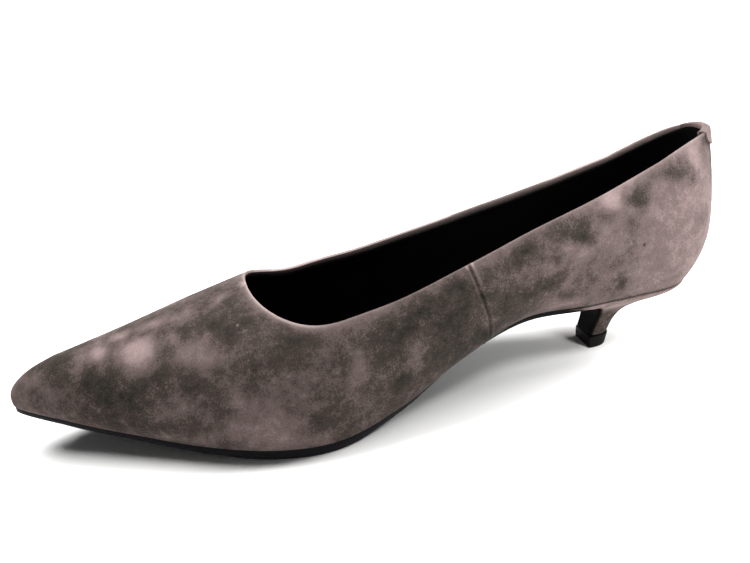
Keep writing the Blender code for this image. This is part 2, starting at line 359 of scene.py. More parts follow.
def add_node(tree: bpy.types.NodeTree, kind: str, inputs: dict[Any, Any], **settings: Any) -> bpy.types.Node:
    """Add a shader node with its settings, values and links.

    Args:
        tree: Node tree of the material.
        kind: Blender's name of the node.
        inputs: Values, or the sockets to link, by input.
        settings: Values of the node's own fields.

    Returns:
        The new node.
    """
    made = tree.nodes.new(kind)
    for key, value in settings.items():
        setattr(made, key, value)
    for key, value in inputs.items():
        if isinstance(value, bpy.types.NodeSocket):
            tree.links.new(value, made.inputs[key])
        else:
            made.inputs[key].default_value = value
    return made


def seat(piece: Piece, finish: "Finish", node: str | None = None) -> Piece:
    """Dress a piece and set it on the shoe.

    Args:
        piece: Piece to dress.
        finish: What it is made of.
        node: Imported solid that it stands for, if any.

    Returns:
        The same piece.
    """
    piece.data.materials.clear()
    piece.data.materials.append(finish.material())
    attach(piece, BODY)
    if node:
        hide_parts(node)
    LOG.info("%s: %d faces", piece.name, len(piece.data.polygons))
    return piece


# Finishes


@dataclass(frozen=True)
class Finish:
    """Material that is made once and shared by the pieces that use it."""

    name: str = "finish"

    def material(self) -> bpy.types.Material:
        """The material, made on first use.

        Returns:
            The shared material.
        """
        made = bpy.data.materials.get(self.name)
        if made is None:
            made = bpy.data.materials.new(self.name)
            made.use_nodes = True
            made.node_tree.nodes.clear()
            self.mix(made.node_tree)
        return made

    def mix(self, tree: bpy.types.NodeTree) -> None:
        """Fill the node tree of the material."""
        raise NotImplementedError


@dataclass(frozen=True)
class Suede(Finish):
    """Split calf leather, dyed taupe and sanded to a short nap.

    Brushed one way the nap looks mauve and pale, the other way brown and dark,
    which gives the eye soft clouds over a fine dry grain with no gloss.
    """

    name: str = "taupe_split_suede"
    deepest: str = "#1d1b18"
    stroked_dark: str = "#2a2723"
    shade: str = "#3f3733"
    middle: str = "#645755"
    pale: str = "#958280"
    # Palest nap, also the colour of the painted highlight along the top edge
    pale_highlight: str = "#c4b0ad"
    cloud_mm: float = 14.0
    brush_mm: float = 5.5
    tuft_mm: float = 2.2
    # Fibres are about 0.1 mm wide, drawn coarser so that they show in the render
    fibre_mm: float = 0.6
    cloud: float = 0.26
    brush: float = 0.44
    tuft: float = 0.32
    fibre: float = 0.5
    # Bits of lint and spots of dirt: x, height, radius and tone on the inner side
    specks: tuple[tuple[float, float, float, float], ...] = (
        (180.3, 0.77, 0.6, 0.5),
        (205.0, 0.53, 0.45, 0.25),
        (240.0, 0.7, 0.4, 0.3),
        (38.5, 0.3, 0.9, -0.35),
    )

    def mix(self, tree: bpy.types.NodeTree) -> None:
        """Clouds of nap, a painted highlight along the top edge, and fibres.

        Args:
            tree: Empty node tree of the material.
        """
        place = add_node(tree, "ShaderNodeTexCoord", {}).outputs["Object"]
        # Tone of the nap, with painted shade and highlights added on the upper and heel cover
        tone = add_node(tree, "ShaderNodeAttribute", {}, attribute_name="nap_and_painted_light").outputs["Fac"]
        # Painted highlight along the top edge
        edge = add_node(tree, "ShaderNodeAttribute", {}, attribute_name="edge_highlight").outputs["Fac"]
        # The pale nap lies flatter, so the grain shows less there
        stand = add_node(
            tree,
            "ShaderNodeMapRange",
            {"Value": tone, "From Min": 0.3, "From Max": 0.64, "To Min": 1.0, "To Max": 0.27},
        ).outputs[0]
        # Size, strength, detail and distortion of each grain, the finest last
        grains = (
            (self.cloud_mm, self.cloud, 2.0, 0.5),
            (self.brush_mm, self.brush, 1.0, 0.4),
            (self.tuft_mm, self.tuft, 1.0, 0.2),
            (self.fibre_mm, self.fibre, 1.0, 0.0),
        )
        total = tone
        for size_mm, share, detail, twist in grains:
            height = add_node(
                tree,
                "ShaderNodeTexNoise",
                {"Vector": place, "Scale": per_metre(size_mm), "Detail": detail, "Distortion": twist},
            ).outputs["Fac"]
            centred = add_node(tree, "ShaderNodeMath", {0: height, 1: 0.5}, operation="SUBTRACT").outputs[0]
            deep = add_node(tree, "ShaderNodeMath", {0: stand, 1: share}, operation="MULTIPLY").outputs[0]
            total = add_node(
                tree,
                "ShaderNodeMath",
                {0: centred, 1: deep, 2: total},
                operation="MULTIPLY_ADD",
            ).outputs[0]
        for x, t, radius, shift in self.specks:
            middle = tuple((LAST.spot(x, t, Side.INNER) - MIDDLE) * MM)
            gap = add_node(tree, "ShaderNodeVectorMath", {0: place, 1: middle}, operation="DISTANCE")
            reach = {"Value": gap.outputs["Value"], "From Max": radius * MM, "To Min": shift, "To Max": 0.0}
            speck = add_node(tree, "ShaderNodeMapRange", reach).outputs[0]
            total = add_node(tree, "ShaderNodeMath", {0: total, 1: speck}, operation="ADD").outputs[0]
        colour = add_node(tree, "ShaderNodeValToRGB", {"Fac": total})
        ramp = colour.color_ramp
        ramp.elements[0].position, ramp.elements[0].color = 0.0, linear(self.deepest)
        ramp.elements[1].position, ramp.elements[1].color = 1.0, linear(self.pale_highlight)
        for spot, code in ((0.2, self.stroked_dark), (0.4, self.shade), (0.6, self.middle), (0.8, self.pale)):
            ramp.elements.new(spot).color = linear(code)
        # Painted highlight along the top edge, mixed towards the palest colour
        lighter = add_node(
            tree,
            "ShaderNodeMix",
            {SHARE: edge, FIRST: colour.outputs["Color"], SECOND: linear(self.pale_highlight)},
            data_type="RGBA",
        )
        nap = add_node(
            tree,
            "ShaderNodeBump",
            {"Height": height, "Strength": 0.35, "Distance": 0.25 * MM},
        )
        shader = add_node(
            tree,
            "ShaderNodeBsdfPrincipled",
            {
                "Base Color": lighter.outputs[MIXED],
                "Roughness": 0.95,
                "Specular IOR Level": 0.1,
                "Sheen Weight": 0.18,
                "Sheen Roughness": 0.3,
                "Sheen Tint": linear("#d8c8c4"),
                "Normal": nap.outputs["Normal"],
            },
        )
        add_node(tree, "ShaderNodeOutputMaterial", {"Surface": shader.outputs["BSDF"]})


@dataclass(frozen=True)
class BlackLeather(Finish):
    """Smooth finished leather, dyed black, with fine pores and a low even gloss."""

    name: str = "black_lining_leather"
    black: str = "#040304"
    lighter: str = "#080708"
    # Grey of a painted reflection of the floor, on pieces that carry one
    reflected_grey: str = "#1e1d21"
    roughness: float = 0.5
    gloss: float = 0.05
    # Pores are about 0.3 mm apart, drawn at twice that
    pore_mm: float = 0.6
    patch_mm: float = 14.0
    # How much the handled patches change the roughness, either way
    unevenness: float = 0.08
    relief: float = 0.25

    def mix(self, tree: bpy.types.NodeTree) -> None:
        """Pores, with patches where it is handled, and a painted grey reflection of the floor where a piece
        carries one.

        Args:
            tree: Empty node tree of the material.
        """
        place = add_node(tree, "ShaderNodeTexCoord", {}).outputs["Object"]
        pores = add_node(
            tree,
            "ShaderNodeTexVoronoi",
            {"Vector": place, "Scale": per_metre(self.pore_mm)},
            feature="F1",
        )
        patch = add_node(
            tree,
            "ShaderNodeTexNoise",
            {"Vector": place, "Scale": per_metre(self.patch_mm), "Detail": 4.0},
        )
        colour = add_node(
            tree,
            "ShaderNodeMix",
            {SHARE: patch.outputs["Fac"], FIRST: linear(self.black), SECOND: linear(self.lighter)},
            data_type="RGBA",
        )
        # Painted grey reflection of the floor, only on the sole's lower edge
        scuff = add_node(tree, "ShaderNodeAttribute", {}, attribute_name="scuff").outputs["Fac"]
        colour = add_node(
            tree,
            "ShaderNodeMix",
            {SHARE: scuff, FIRST: colour.outputs[MIXED], SECOND: linear(self.reflected_grey)},
            data_type="RGBA",
        )
        rough = add_node(
            tree,
            "ShaderNodeMapRange",
            {
                "Value": patch.outputs["Fac"],
                "To Min": self.roughness - self.unevenness,
                "To Max": self.roughness + self.unevenness,
            },
        )
        bump = add_node(
            tree,
            "ShaderNodeBump",
            {"Height": pores.outputs["Distance"], "Strength": self.relief, "Distance": 0.1 * MM},
        )
        shader = add_node(
            tree,
            "ShaderNodeBsdfPrincipled",
            {
                "Base Color": colour.outputs[MIXED],
                "Roughness": rough.outputs[0],
                "Specular IOR Level": self.gloss,
                "Normal": bump.outputs["Normal"],
            },
        )
        add_node(tree, "ShaderNodeOutputMaterial", {"Surface": shader.outputs["BSDF"]})


@dataclass(frozen=True)
class FloorPaint(Finish):
    """Matt white board with a faint unevenness, as under a studio table."""

    name: str = "matt_white_board"
    pale: str = "#f6f6f5"
    paler: str = "#fbfbfa"
    patch_mm: float = 180.0

    def mix(self, tree: bpy.types.NodeTree) -> None:
        """Faint clouds of white.

        Args:
            tree: Empty node tree of the material.
        """
        place = add_node(tree, "ShaderNodeTexCoord", {}).outputs["Object"]
        patch = add_node(tree, "ShaderNodeTexNoise", {"Vector": place, "Scale": per_metre(self.patch_mm)})
        colour = add_node(
            tree,
            "ShaderNodeMix",
            {SHARE: patch.outputs["Fac"], FIRST: linear(self.pale), SECOND: linear(self.paler)},
            data_type="RGBA",
        )
        shader = add_node(
            tree,
            "ShaderNodeBsdfPrincipled",
            {"Base Color": colour.outputs[MIXED], "Roughness": 0.9, "Specular IOR Level": 0.1},
        )
        add_node(tree, "ShaderNodeOutputMaterial", {"Surface": shader.outputs["BSDF"]})


# Sanded split leather: soft clouds over a dry grain
SUEDE = Suede()
# Finished lining leather: an even deep black that shows almost no form inside
LINING = BlackLeather()
# Lining leather over padding: duller and coarser, where the foot has rubbed it
SOCK = BlackLeather(name="black_sock_leather", roughness=0.55, pore_mm=0.8)
# Sole leather, burnished with wax: a smooth black edge, with a painted grey reflection of the floor along its
# lower part under the ball and toe
SOLE_EDGE = BlackLeather(
    name="black_burnished_sole",
    black="#040404",
    lighter="#070606",
    roughness=0.5,
    gloss=0.06,
    pore_mm=1.2,
    relief=0.1,
)
# Thin unpolished leather: a flat black with hardly a glint
BREAST = BlackLeather(name="black_breast_leather", black="#040404", lighter="#070606", roughness=0.7, gloss=0.03)
# Moulded rubber: a slightly greyer black with a dull shine
LIFT = BlackLeather(
    name="black_rubber_lift",
    black="#060505",
    lighter="#0c0b0b",
    roughness=0.62,
    gloss=0.1,
    pore_mm=0.9,
)
# Painted board: a white without gloss that takes soft shadows
FLOOR = FloorPaint()


# Last


@dataclass(frozen=True)
class Line:
    """Line up the wall of the last, from the feather edge to the top.

    Attributes:
        region: Stretch of the last.
        foot: Its x at the feather edge, or its share round an end.
        head: Its x at the top.
        angle: How far over the top it reaches, in radians.
        stop: Share of its height that is used.
    """

    region: Region
    foot: float
    head: float = 0.0
    angle: float = 0.0
    stop: float = 1.0


@dataclass(frozen=True)
class Last:
    """Form that the shoe is pulled over, as sections along the foot."""

    length: float = 255.0
    heel_x: float = 30.0
    toe_x: float = 240.0
    heel_round: Span = (0.55, 0.55)
    toe_round: Span = (0.60, 0.36)
    # Step over which the slope of the side is read at an end
    slope_step: float = 0.5
    bulge_share: float = 0.3
    feather_angle: float = math.radians(35.0)
    width_power: float = 2.15
    back_feather_x: float = 9.0
    back_bulge_z: float = 45.6
    back_top_x: float = 2.6
    back_top_z: float = 79.9
    # Power of the rise towards the back: at the feather edge, and at the top of each side
    low_back_rise: float = 2.0
    inner_back_rise: float = 1.3
    outer_back_rise: float = 1.65
    tip_feather_x: float = 254.6
    tip_bulge_z: float = 19.4
    throat_x: float = 174.5
    oval_x: float = 148.0
    oval_power: float = 2.4
    # Lines fan out below the throat: foot of the foremost one, lead of the feet beside
    # the oval, and the head from which they stand upright again
    fan_foot: float = 207.0
    fan_lead: float = 10.0
    fan_end: float = 128.0
    seam_x: float = 104.5
    seam_lean: float = 8.0
    seam_spread: float = 14.0
    seam_near: float = 4.2
    # Lines per stretch, from the toe to the heel
    toe_lines: int = 6
    vamp_lines: int = 12
    throat_lines: int = 9
    front_lines: int = 11
    seam_lines: int = 8
    back_lines: int = 18
    heel_lines: int = 7
    # How fast an extra drop sets in behind the throat, and the most of a line that is cut off
    extra_power: float = 0.4
    longest_drop: float = 0.9
    arc_steps: int = 24

    section_x: Row = (30.0, 55.0, 80.0, 105.0, 130.0, 155.0, 175.0, 195.0, 215.0, 240.0)
    inner_feather: Row = (20.5, 20.3, 16.9, 21.0, 30.6, 38.9, 37.7, 30.0, 19.6, 7.6)
    outer_feather: Row = (22.0, 23.5, 24.5, 28.0, 32.0, 35.0, 34.0, 29.0, 20.5, 8.5)
    inner_bulge: Row = (23.4, 25.5, 27.3, 30.7, 35.5, 39.7, 39.5, 33.2, 23.3, 10.7)
    outer_bulge: Row = (24.1, 25.9, 28.3, 32.0, 35.3, 37.3, 35.7, 30.7, 22.9, 10.3)
    rise: Row = (21.7, 19.6, 17.6, 15.5, 13.5, 11.4, 9.8, 8.8, 8.1, 6.9)
    ridge_z: Row = (84.8, 79.6, 74.7, 68.6, 60.7, 52.7, 46.9, 41.7, 36.3, 30.7)
    centre_y: Row = (-1.1, -0.4, 0.3, 1.1, 1.8, 2.2, 2.2, 2.0, 1.9, 1.7)
    opening_x: Row = (30.0, 55.0, 80.0, 105.0, 130.0, 148.0)
    inner_opening: Row = (17.1, 20.7, 23.4, 26.0, 28.8, 30.0)
    outer_opening: Row = (21.2, 23.9, 26.8, 29.4, 30.7, 30.6)
    sole_x: Row = (8.0, 30.0, 55.0, 80.0, 105.0, 130.0, 155.0, 175.0, 195.0, 215.0, 240.0, 254.0)
    feather_z: Row = (26.7, 26.2, 25.3, 23.6, 15.2, 7.2, 3.9, 4.3, 5.2, 7.3, 11.9, 16.0)

    def size(self, name: str, x: np.ndarray | float) -> np.ndarray:
        """One row of sizes, read at x."""
        places = {"feather_z": self.sole_x, "inner_opening": self.opening_x, "outer_opening": self.opening_x}
        return smooth_curve(places.get(name, self.section_x), getattr(self, name), x)

    def on_side(self, side: Side, name: str, x: np.ndarray | float) -> np.ndarray:
        """One row of sizes of a side, read at x."""
        return self.size(f"{side.name.lower()}_{name}", x)

    def lower_arc(self, t: np.ndarray) -> Pair:
        """Course of the wall from the feather edge to the bulge.

        Args:
            t: Heights from 0 at the feather edge to 1 at the top.

        Returns:
            Shares outward and upward.
        """
        angle = self.feather_angle + (math.pi / 2 - self.feather_angle) * np.clip(t / self.bulge_share, 0, 1)
        low = math.sin(self.feather_angle)
        return (np.sin(angle) - low) / (1 - low), 1 - np.cos(angle) / math.cos(self.feather_angle)

    def upper_share(self, t: np.ndarray) -> np.ndarray:
        """Share of the way from the bulge to the top."""
        return np.clip((t - self.bulge_share) / (1 - self.bulge_share), 0, 1)

    def opening_half(self, x: float, side: Side, drop: float) -> float:
        """Half-width of the opening.

        Args:
            x: Place along the last.
            side: Side of the foot.
            drop: How far the oval is lengthened.

        Returns:
            The half-width, or 0 ahead of the throat.
        """
        half = float(self.on_side(side, "opening", min(x, self.oval_x)))
        u = min(max((x - self.oval_x) / (self.throat_x + drop - self.oval_x), 0.0), 1.0)
        return half * max(1 - u**self.oval_power, 0.0) ** (1 / self.oval_power)

    def cut_angle(self, x: float, side: Side, inset: float, drop: float) -> float:
        """How far over the top the wall reaches before the opening.

        Args:
            x: Place along the last.
            side: Side of the foot.
            inset: Depth under the outer face.
            drop: How far the oval is lengthened.

        Returns:
            The angle in radians.
        """
        bulge = float(self.on_side(side, "bulge", x)) - inset
        edge = max(self.opening_half(x, side, drop) - inset, 0.0)
        return math.acos(min(edge / bulge, 1.0) ** (self.width_power / 2))

    def section(self, x: np.ndarray, side: Side, t: np.ndarray, inset: float, angle: float) -> Pair:
        """Half-width and height of the wall.

        Args:
            x: Places along the last.
            side: Side of the foot.
            t: Heights from 0 at the feather edge to 1 at the top.
            inset: Depth under the outer face.
            angle: How far over the top t = 1 is.

        Returns:
            Half-widths and heights.
        """
        feather = self.on_side(side, "feather", x) - inset
        bulge = self.on_side(side, "bulge", x) - inset
        foot_z = self.size("feather_z", x)
        bulge_z = foot_z + self.size("rise", x)
        ridge_z = self.size("ridge_z", x) - inset
        turn = self.upper_share(t) * angle
        out, up = self.lower_arc(t)
        low = t <= self.bulge_share
        fall = np.abs(np.cos(turn)) ** (2 / self.width_power)
        half = np.where(low, between(feather, bulge, out), bulge * fall)
        high = between(bulge_z, ridge_z, np.abs(np.sin(turn)))
        return half, np.where(low, between(foot_z, bulge_z, up), high)

    def round_end(self, q: float, slope: np.ndarray, ends: Span) -> tuple[float, np.ndarray]:
        """Quarter outline of a rounded end.

        Args:
            q: Share round it, from 0 at the side to 1 at the middle.
            slope: How fast the side narrows where the end begins.
            ends: How full the curve is at the side and at the middle.

        Returns:
            Share along the end and shares across it.
        """
        reach, tip = ends
        a, b, c, d = (1 - q) ** 3, 3 * q * (1 - q) ** 2, 3 * q * q * (1 - q), q**3
        return b * reach + c + d, a + b * (1 - reach * slope) + c * tip

    def heel_points(self, q: float, side: Side, t: np.ndarray, inset: float) -> np.ndarray:
        """Places round the heel.

        Args:
            q: Share round it, from 0 at the side to 1 at the back.
            side: Side of the foot.
            t: Heights from 0 at the feather edge to 1 at the top.
            inset: Depth under the outer face.

        Returns:
            Places on the last.
        """
        step = self.slope_step
        x = self.heel_x + 0 * t
        angle = self.cut_angle(self.heel_x, side, inset, 0.0)
        half, z = self.section(x, side, t, inset, angle)
        angle_ahead = self.cut_angle(self.heel_x + step, side, inset, 0.0)
        ahead, z_ahead = self.section(x + step, side, t, inset, angle_ahead)
        out, up = self.lower_arc(t)
        share = self.upper_share(t)
        low = t <= self.bulge_share
        back_x = np.where(low, self.back_feather_x * (1 - out), self.back_top_x * share**2)
        reach = self.heel_x - back_x - inset
        foot_z = self.size("feather_z", self.back_feather_x)
        back_low = between(foot_z, self.back_bulge_z, up)
        back_high = between(self.back_bulge_z, self.back_top_z, share)
        back_z = np.where(low, back_low, back_high)
        along, across = self.round_end(q, (ahead - half) / step * reach / half, self.heel_round)
        rise = between(self.low_back_rise, getattr(self, f"{side.name.lower()}_back_rise"), share)
        z = z - (z_ahead - z) / step * reach * along * (1 - along) + (back_z - z) * along**rise
        y = self.size("centre_y", self.heel_x) + side.value * half * across
        return np.stack([self.heel_x - reach * along, y, z], -1)

    def toe_points(self, q: float, side: Side, t: np.ndarray, inset: float) -> np.ndarray:
        """Places round the toe.

        Args:
            q: Share round it, from 0 at the side to 1 at the tip.
            side: Side of the foot.
            t: Heights from 0 at the feather edge to 1 at the top.
            inset: Depth under the outer face.

        Returns:
            Places on the last.
        """
        step = self.slope_step
        feather = self.on_side(side, "feather", self.toe_x) - inset
        bulge = self.on_side(side, "bulge", self.toe_x) - inset
        behind = self.on_side(side, "bulge", self.toe_x - step) - inset
        bulge_z = self.size("feather_z", self.toe_x) + self.size("rise", self.toe_x)
        tip_feather = self.tip_feather_x - self.toe_x - inset
        tip_bulge = self.length - self.toe_x - inset
        out, up = self.lower_arc(t)
        turn = self.upper_share(t) * math.pi / 2
        fall = np.abs(np.cos(turn)) ** (2 / self.width_power)
        low = t <= self.bulge_share
        half = np.where(low, between(feather, bulge, out), bulge * fall)
        reach = np.where(low, between(tip_feather, tip_bulge, out), tip_bulge * fall)
        along, across = self.round_end(q, (behind - bulge) / step * tip_bulge / bulge, self.toe_round)
        x = self.toe_x + reach * along
        low_z = self.size("feather_z", self.toe_x + tip_feather * along)
        mid_z = bulge_z * (1 - along**2) + self.tip_bulge_z * along**2
        high = between(mid_z, self.size("ridge_z", x) - inset, np.abs(np.sin(turn)))
        z = np.where(low, between(low_z, mid_z, up), high)
        y = self.size("centre_y", self.toe_x) + side.value * half * across
        return np.stack([x, y, z], -1)

    def points(self, line: Line, side: Side, t: np.ndarray, inset: float) -> np.ndarray:
        """Places on one line of the wall.

        Args:
            line: Line to follow.
            side: Side of the foot.
            t: Heights from 0 at the feather edge to 1 at the top.
            inset: Depth under the outer face.

        Returns:
            Places on the last.
        """
        if line.region is Region.TOE:
            return self.toe_points(line.foot, side, t, inset)
        if line.region is Region.HEEL:
            return self.heel_points(line.foot, side, t, inset)
        x = between(line.foot, line.head, t)
        half, z = self.section(x, side, t, inset, line.angle)
        return np.stack([x, self.size("centre_y", x) + side.value * half, z], -1)

    def spot(self, x: float, t: float, side: Side) -> np.ndarray:
        """Place on the outer face of the wall.

        Args:
            x: Place along the last.
            t: Height from 0 at the feather edge to 1 at the top.
            side: Side of the foot.

        Returns:
            The place on the last.
        """
        height = np.array([t])
        if x < self.heel_x:
            return self.heel_points(1 - x / self.heel_x, side, height, 0.0)[0]
        if x > self.toe_x:
            return self.toe_points((x - self.toe_x) / (self.length - self.toe_x), side, height, 0.0)[0]
        angle = self.cut_angle(x, side, 0.0, 0.0) if x < self.throat_x else math.pi / 2
        return self.points(Line(Region.SIDE, x, x, angle), side, height, 0.0)[0]

    def lean(self, head: float, side: Side) -> float:
        """How far a line's foot lies behind its head, to run along the seam.

        Args:
            head: Its x at the top.
            side: Side of the foot.

        Returns:
            The distance, which is 0 on the outer side.
        """
        if side is Side.OUTER:
            return 0.0
        return self.seam_lean * float(bell(head - self.seam_x, self.seam_spread))

    def fan(self, side: Side, inset: float, drop: float, extra: float, fine: int) -> list[Line]:
        """Lines up one side, from the tip of the toe to the middle of the heel.

        Args:
            side: Side of the foot.
            inset: Depth under the outer face.
            drop: How far under the top edge they end.
            extra: How much lower they end along the side.
            fine: How many lines each stretch has, as a multiple.

        Returns:
            The lines in order.
        """
        toe, vamp, sweep, heel = (
            count * fine for count in (self.toe_lines, self.vamp_lines, self.throat_lines, self.heel_lines)
        )
        lines = [Line(Region.TOE, 1 - k / toe) for k in range(toe)]
        throat = self.throat_x + drop
        for k in range(vamp):
            foot, head = (between(self.toe_x, end, k / vamp) for end in (self.fan_foot, throat))
            lines.append(Line(Region.SIDE, foot, head, math.pi / 2))
        for k in range(sweep):
            phi = math.pi / 2 * k / sweep
            head = self.oval_x + (throat - self.oval_x) * math.cos(phi) ** (2 / self.oval_power)
            angle = self.cut_angle(head, side, inset, drop) if k else math.pi / 2
            foot = self.fan_foot + (self.fan_spread(self.oval_x) - self.fan_foot) * k / sweep
            low = drop * math.sin(phi) + extra * math.sin(phi) ** self.extra_power
            lines.append(self.stopped(Line(Region.SIDE, foot, head, angle), side, inset, low))
        for head in self.quarter_heads(fine):
            angle = self.cut_angle(head, side, inset, drop)
            foot = self.fan_spread(head) - self.lean(head, side)
            lines.append(self.stopped(Line(Region.SIDE, foot, head, angle), side, inset, drop + extra))
        ends = [Line(Region.HEEL, k / heel) for k in range(1, heel + 1)]
        return lines + [self.stopped(end, side, inset, drop + extra * (1 - end.foot**2)) for end in ends]

    def fan_spread(self, head: float) -> float:
        """Foot of a line behind the throat, eased back to stand under its head."""
        return head + self.fan_lead * float(fade(head, self.fan_end, self.oval_x))

    def quarter_heads(self, fine: int) -> list[float]:
        """Heads of the lines from the oval to the heel, close together at the seam.

        Args:
            fine: How many lines each stretch has, as a multiple.

        Returns:
            Their x at the top.
        """
        near = self.seam_x + np.linspace(self.seam_near, -self.seam_near, self.seam_lines * fine + 1)
        front = np.linspace(self.oval_x, near[0], self.front_lines * fine + 1)[:-1]
        back = np.linspace(near[-1], self.heel_x, self.back_lines * fine + 1)[1:]
        return [*front, *near, *back]

    def stopped(self, line: Line, side: Side, inset: float, drop: float) -> Line:
        """End a line short of the top edge.

        Args:
            line: Line to shorten.
            side: Side of the foot.
            inset: Depth under the outer face.
            drop: How far under the top edge it ends.

        Returns:
            The shortened line.
        """
        if drop <= 0:
            return line
        path = self.points(line, side, np.linspace(self.bulge_share, 1, self.arc_steps), inset)
        arc = float(np.linalg.norm(np.diff(path, axis=0), axis=1).sum())
        stop = 1 - (1 - self.bulge_share) * min(drop / arc, self.longest_drop)
        return Line(line.region, line.foot, line.head, line.angle, stop)

    def wall(
        self, side: Side, inset: float, steps: np.ndarray, fine: int, drop: float = 0.0, extra: float = 0.0
    ) -> np.ndarray:
        """Rows of places over one side of the wall.

        Args:
            side: Side of the foot.
            inset: Depth under the outer face.
            steps: Shares of the height, from 0 to 1.
            fine: How many lines each stretch has, as a multiple.
            drop: How far under the top edge it ends.
            extra: How much lower it ends along the side.

        Returns:
            Places on the last, line by line.
        """
        lines = self.fan(side, inset, drop, extra, fine)
        return np.array([self.points(line, side, steps * line.stop, inset) for line in lines])

    def feather(self, side: Side, inset: float, xs: np.ndarray, toe: int, heel: int) -> np.ndarray:
        """Places along the feather edge, from the tip of the toe to the heel.

        Args:
            side: Side of the foot.
            inset: Depth under the outer face.
            xs: Places between the rounded ends.
            toe: Places round the toe.
            heel: Places round the heel, or none.

        Returns:
            Places on the last.
        """
        foot = np.zeros(1)
        places = [self.toe_points(1 - k / toe, side, foot, inset)[0] for k in range(toe)]
        places += [self.points(Line(Region.SIDE, x, x), side, foot, inset)[0] for x in xs]
        places += [self.heel_points(k / heel, side, foot, inset)[0] for k in range(1, heel + 1)]
        return np.array(places)


LAST = Last()


# Marks on the suede


@dataclass(frozen=True)
class Patch:
    """Soft patch of brushed nap, paler above 0 and darker below.

    Attributes:
        x: Its middle along the last.
        t: Its height there, from 0 at the feather edge to 1 at the top.
        reach: Its half-sizes along the foot and up the wall.
        tone: How much paler it is.
        edge: How steeply it ends.
    """

    x: float
    t: float
    reach: Span
    tone: float
    edge: float = 1.4

    def over(self, places: np.ndarray, side: Side, shift: float) -> np.ndarray:
        """How much it lightens places.

        Args:
            places: Places on the last.
            side: Side of the foot that it is on.
            shift: How far it is moved towards the toe.

        Returns:
            Tones at the places.
        """
        middle = LAST.spot(self.x + shift, self.t, side)
        ahead = LAST.spot(self.x + shift + 1.0, self.t, side) - middle
        ahead /= np.linalg.norm(ahead)
        off = places - middle
        along = off @ ahead
        across = (off**2).sum(axis=1) - along**2
        away = (along / self.reach[0]) ** 2 + across / self.reach[1] ** 2
        return self.tone * np.exp(-(away**self.edge))


@dataclass(frozen=True)
class Crease:
    """Soft trough or ridge pressed into the wall.

    Attributes:
        side: Side of the foot.
        start: Its x and height share where it begins.
        end: Its x and height share where it ends.
        width: Half its width.
        height: How far it stands out, less than 0 for a trough.
    """

    side: Side
    start: Span
    end: Span
    width: float
    height: float

    def path(self, count: int = 40) -> np.ndarray:
        """Course of it on the last.

        Args:
            count: How many places to give.

        Returns:
            Places along it.
        """
        places = []
        for k in range(count):
            share = k / (count - 1)
            x, t = (between(a, b, share) for a, b in zip(self.start, self.end))
            line = Line(Region.SIDE, x, x, LAST.cut_angle(x, self.side, 0.0, 0.0))
            places.append(LAST.points(line, self.side, np.array([t]), 0.0)[0])
        return np.array(places)


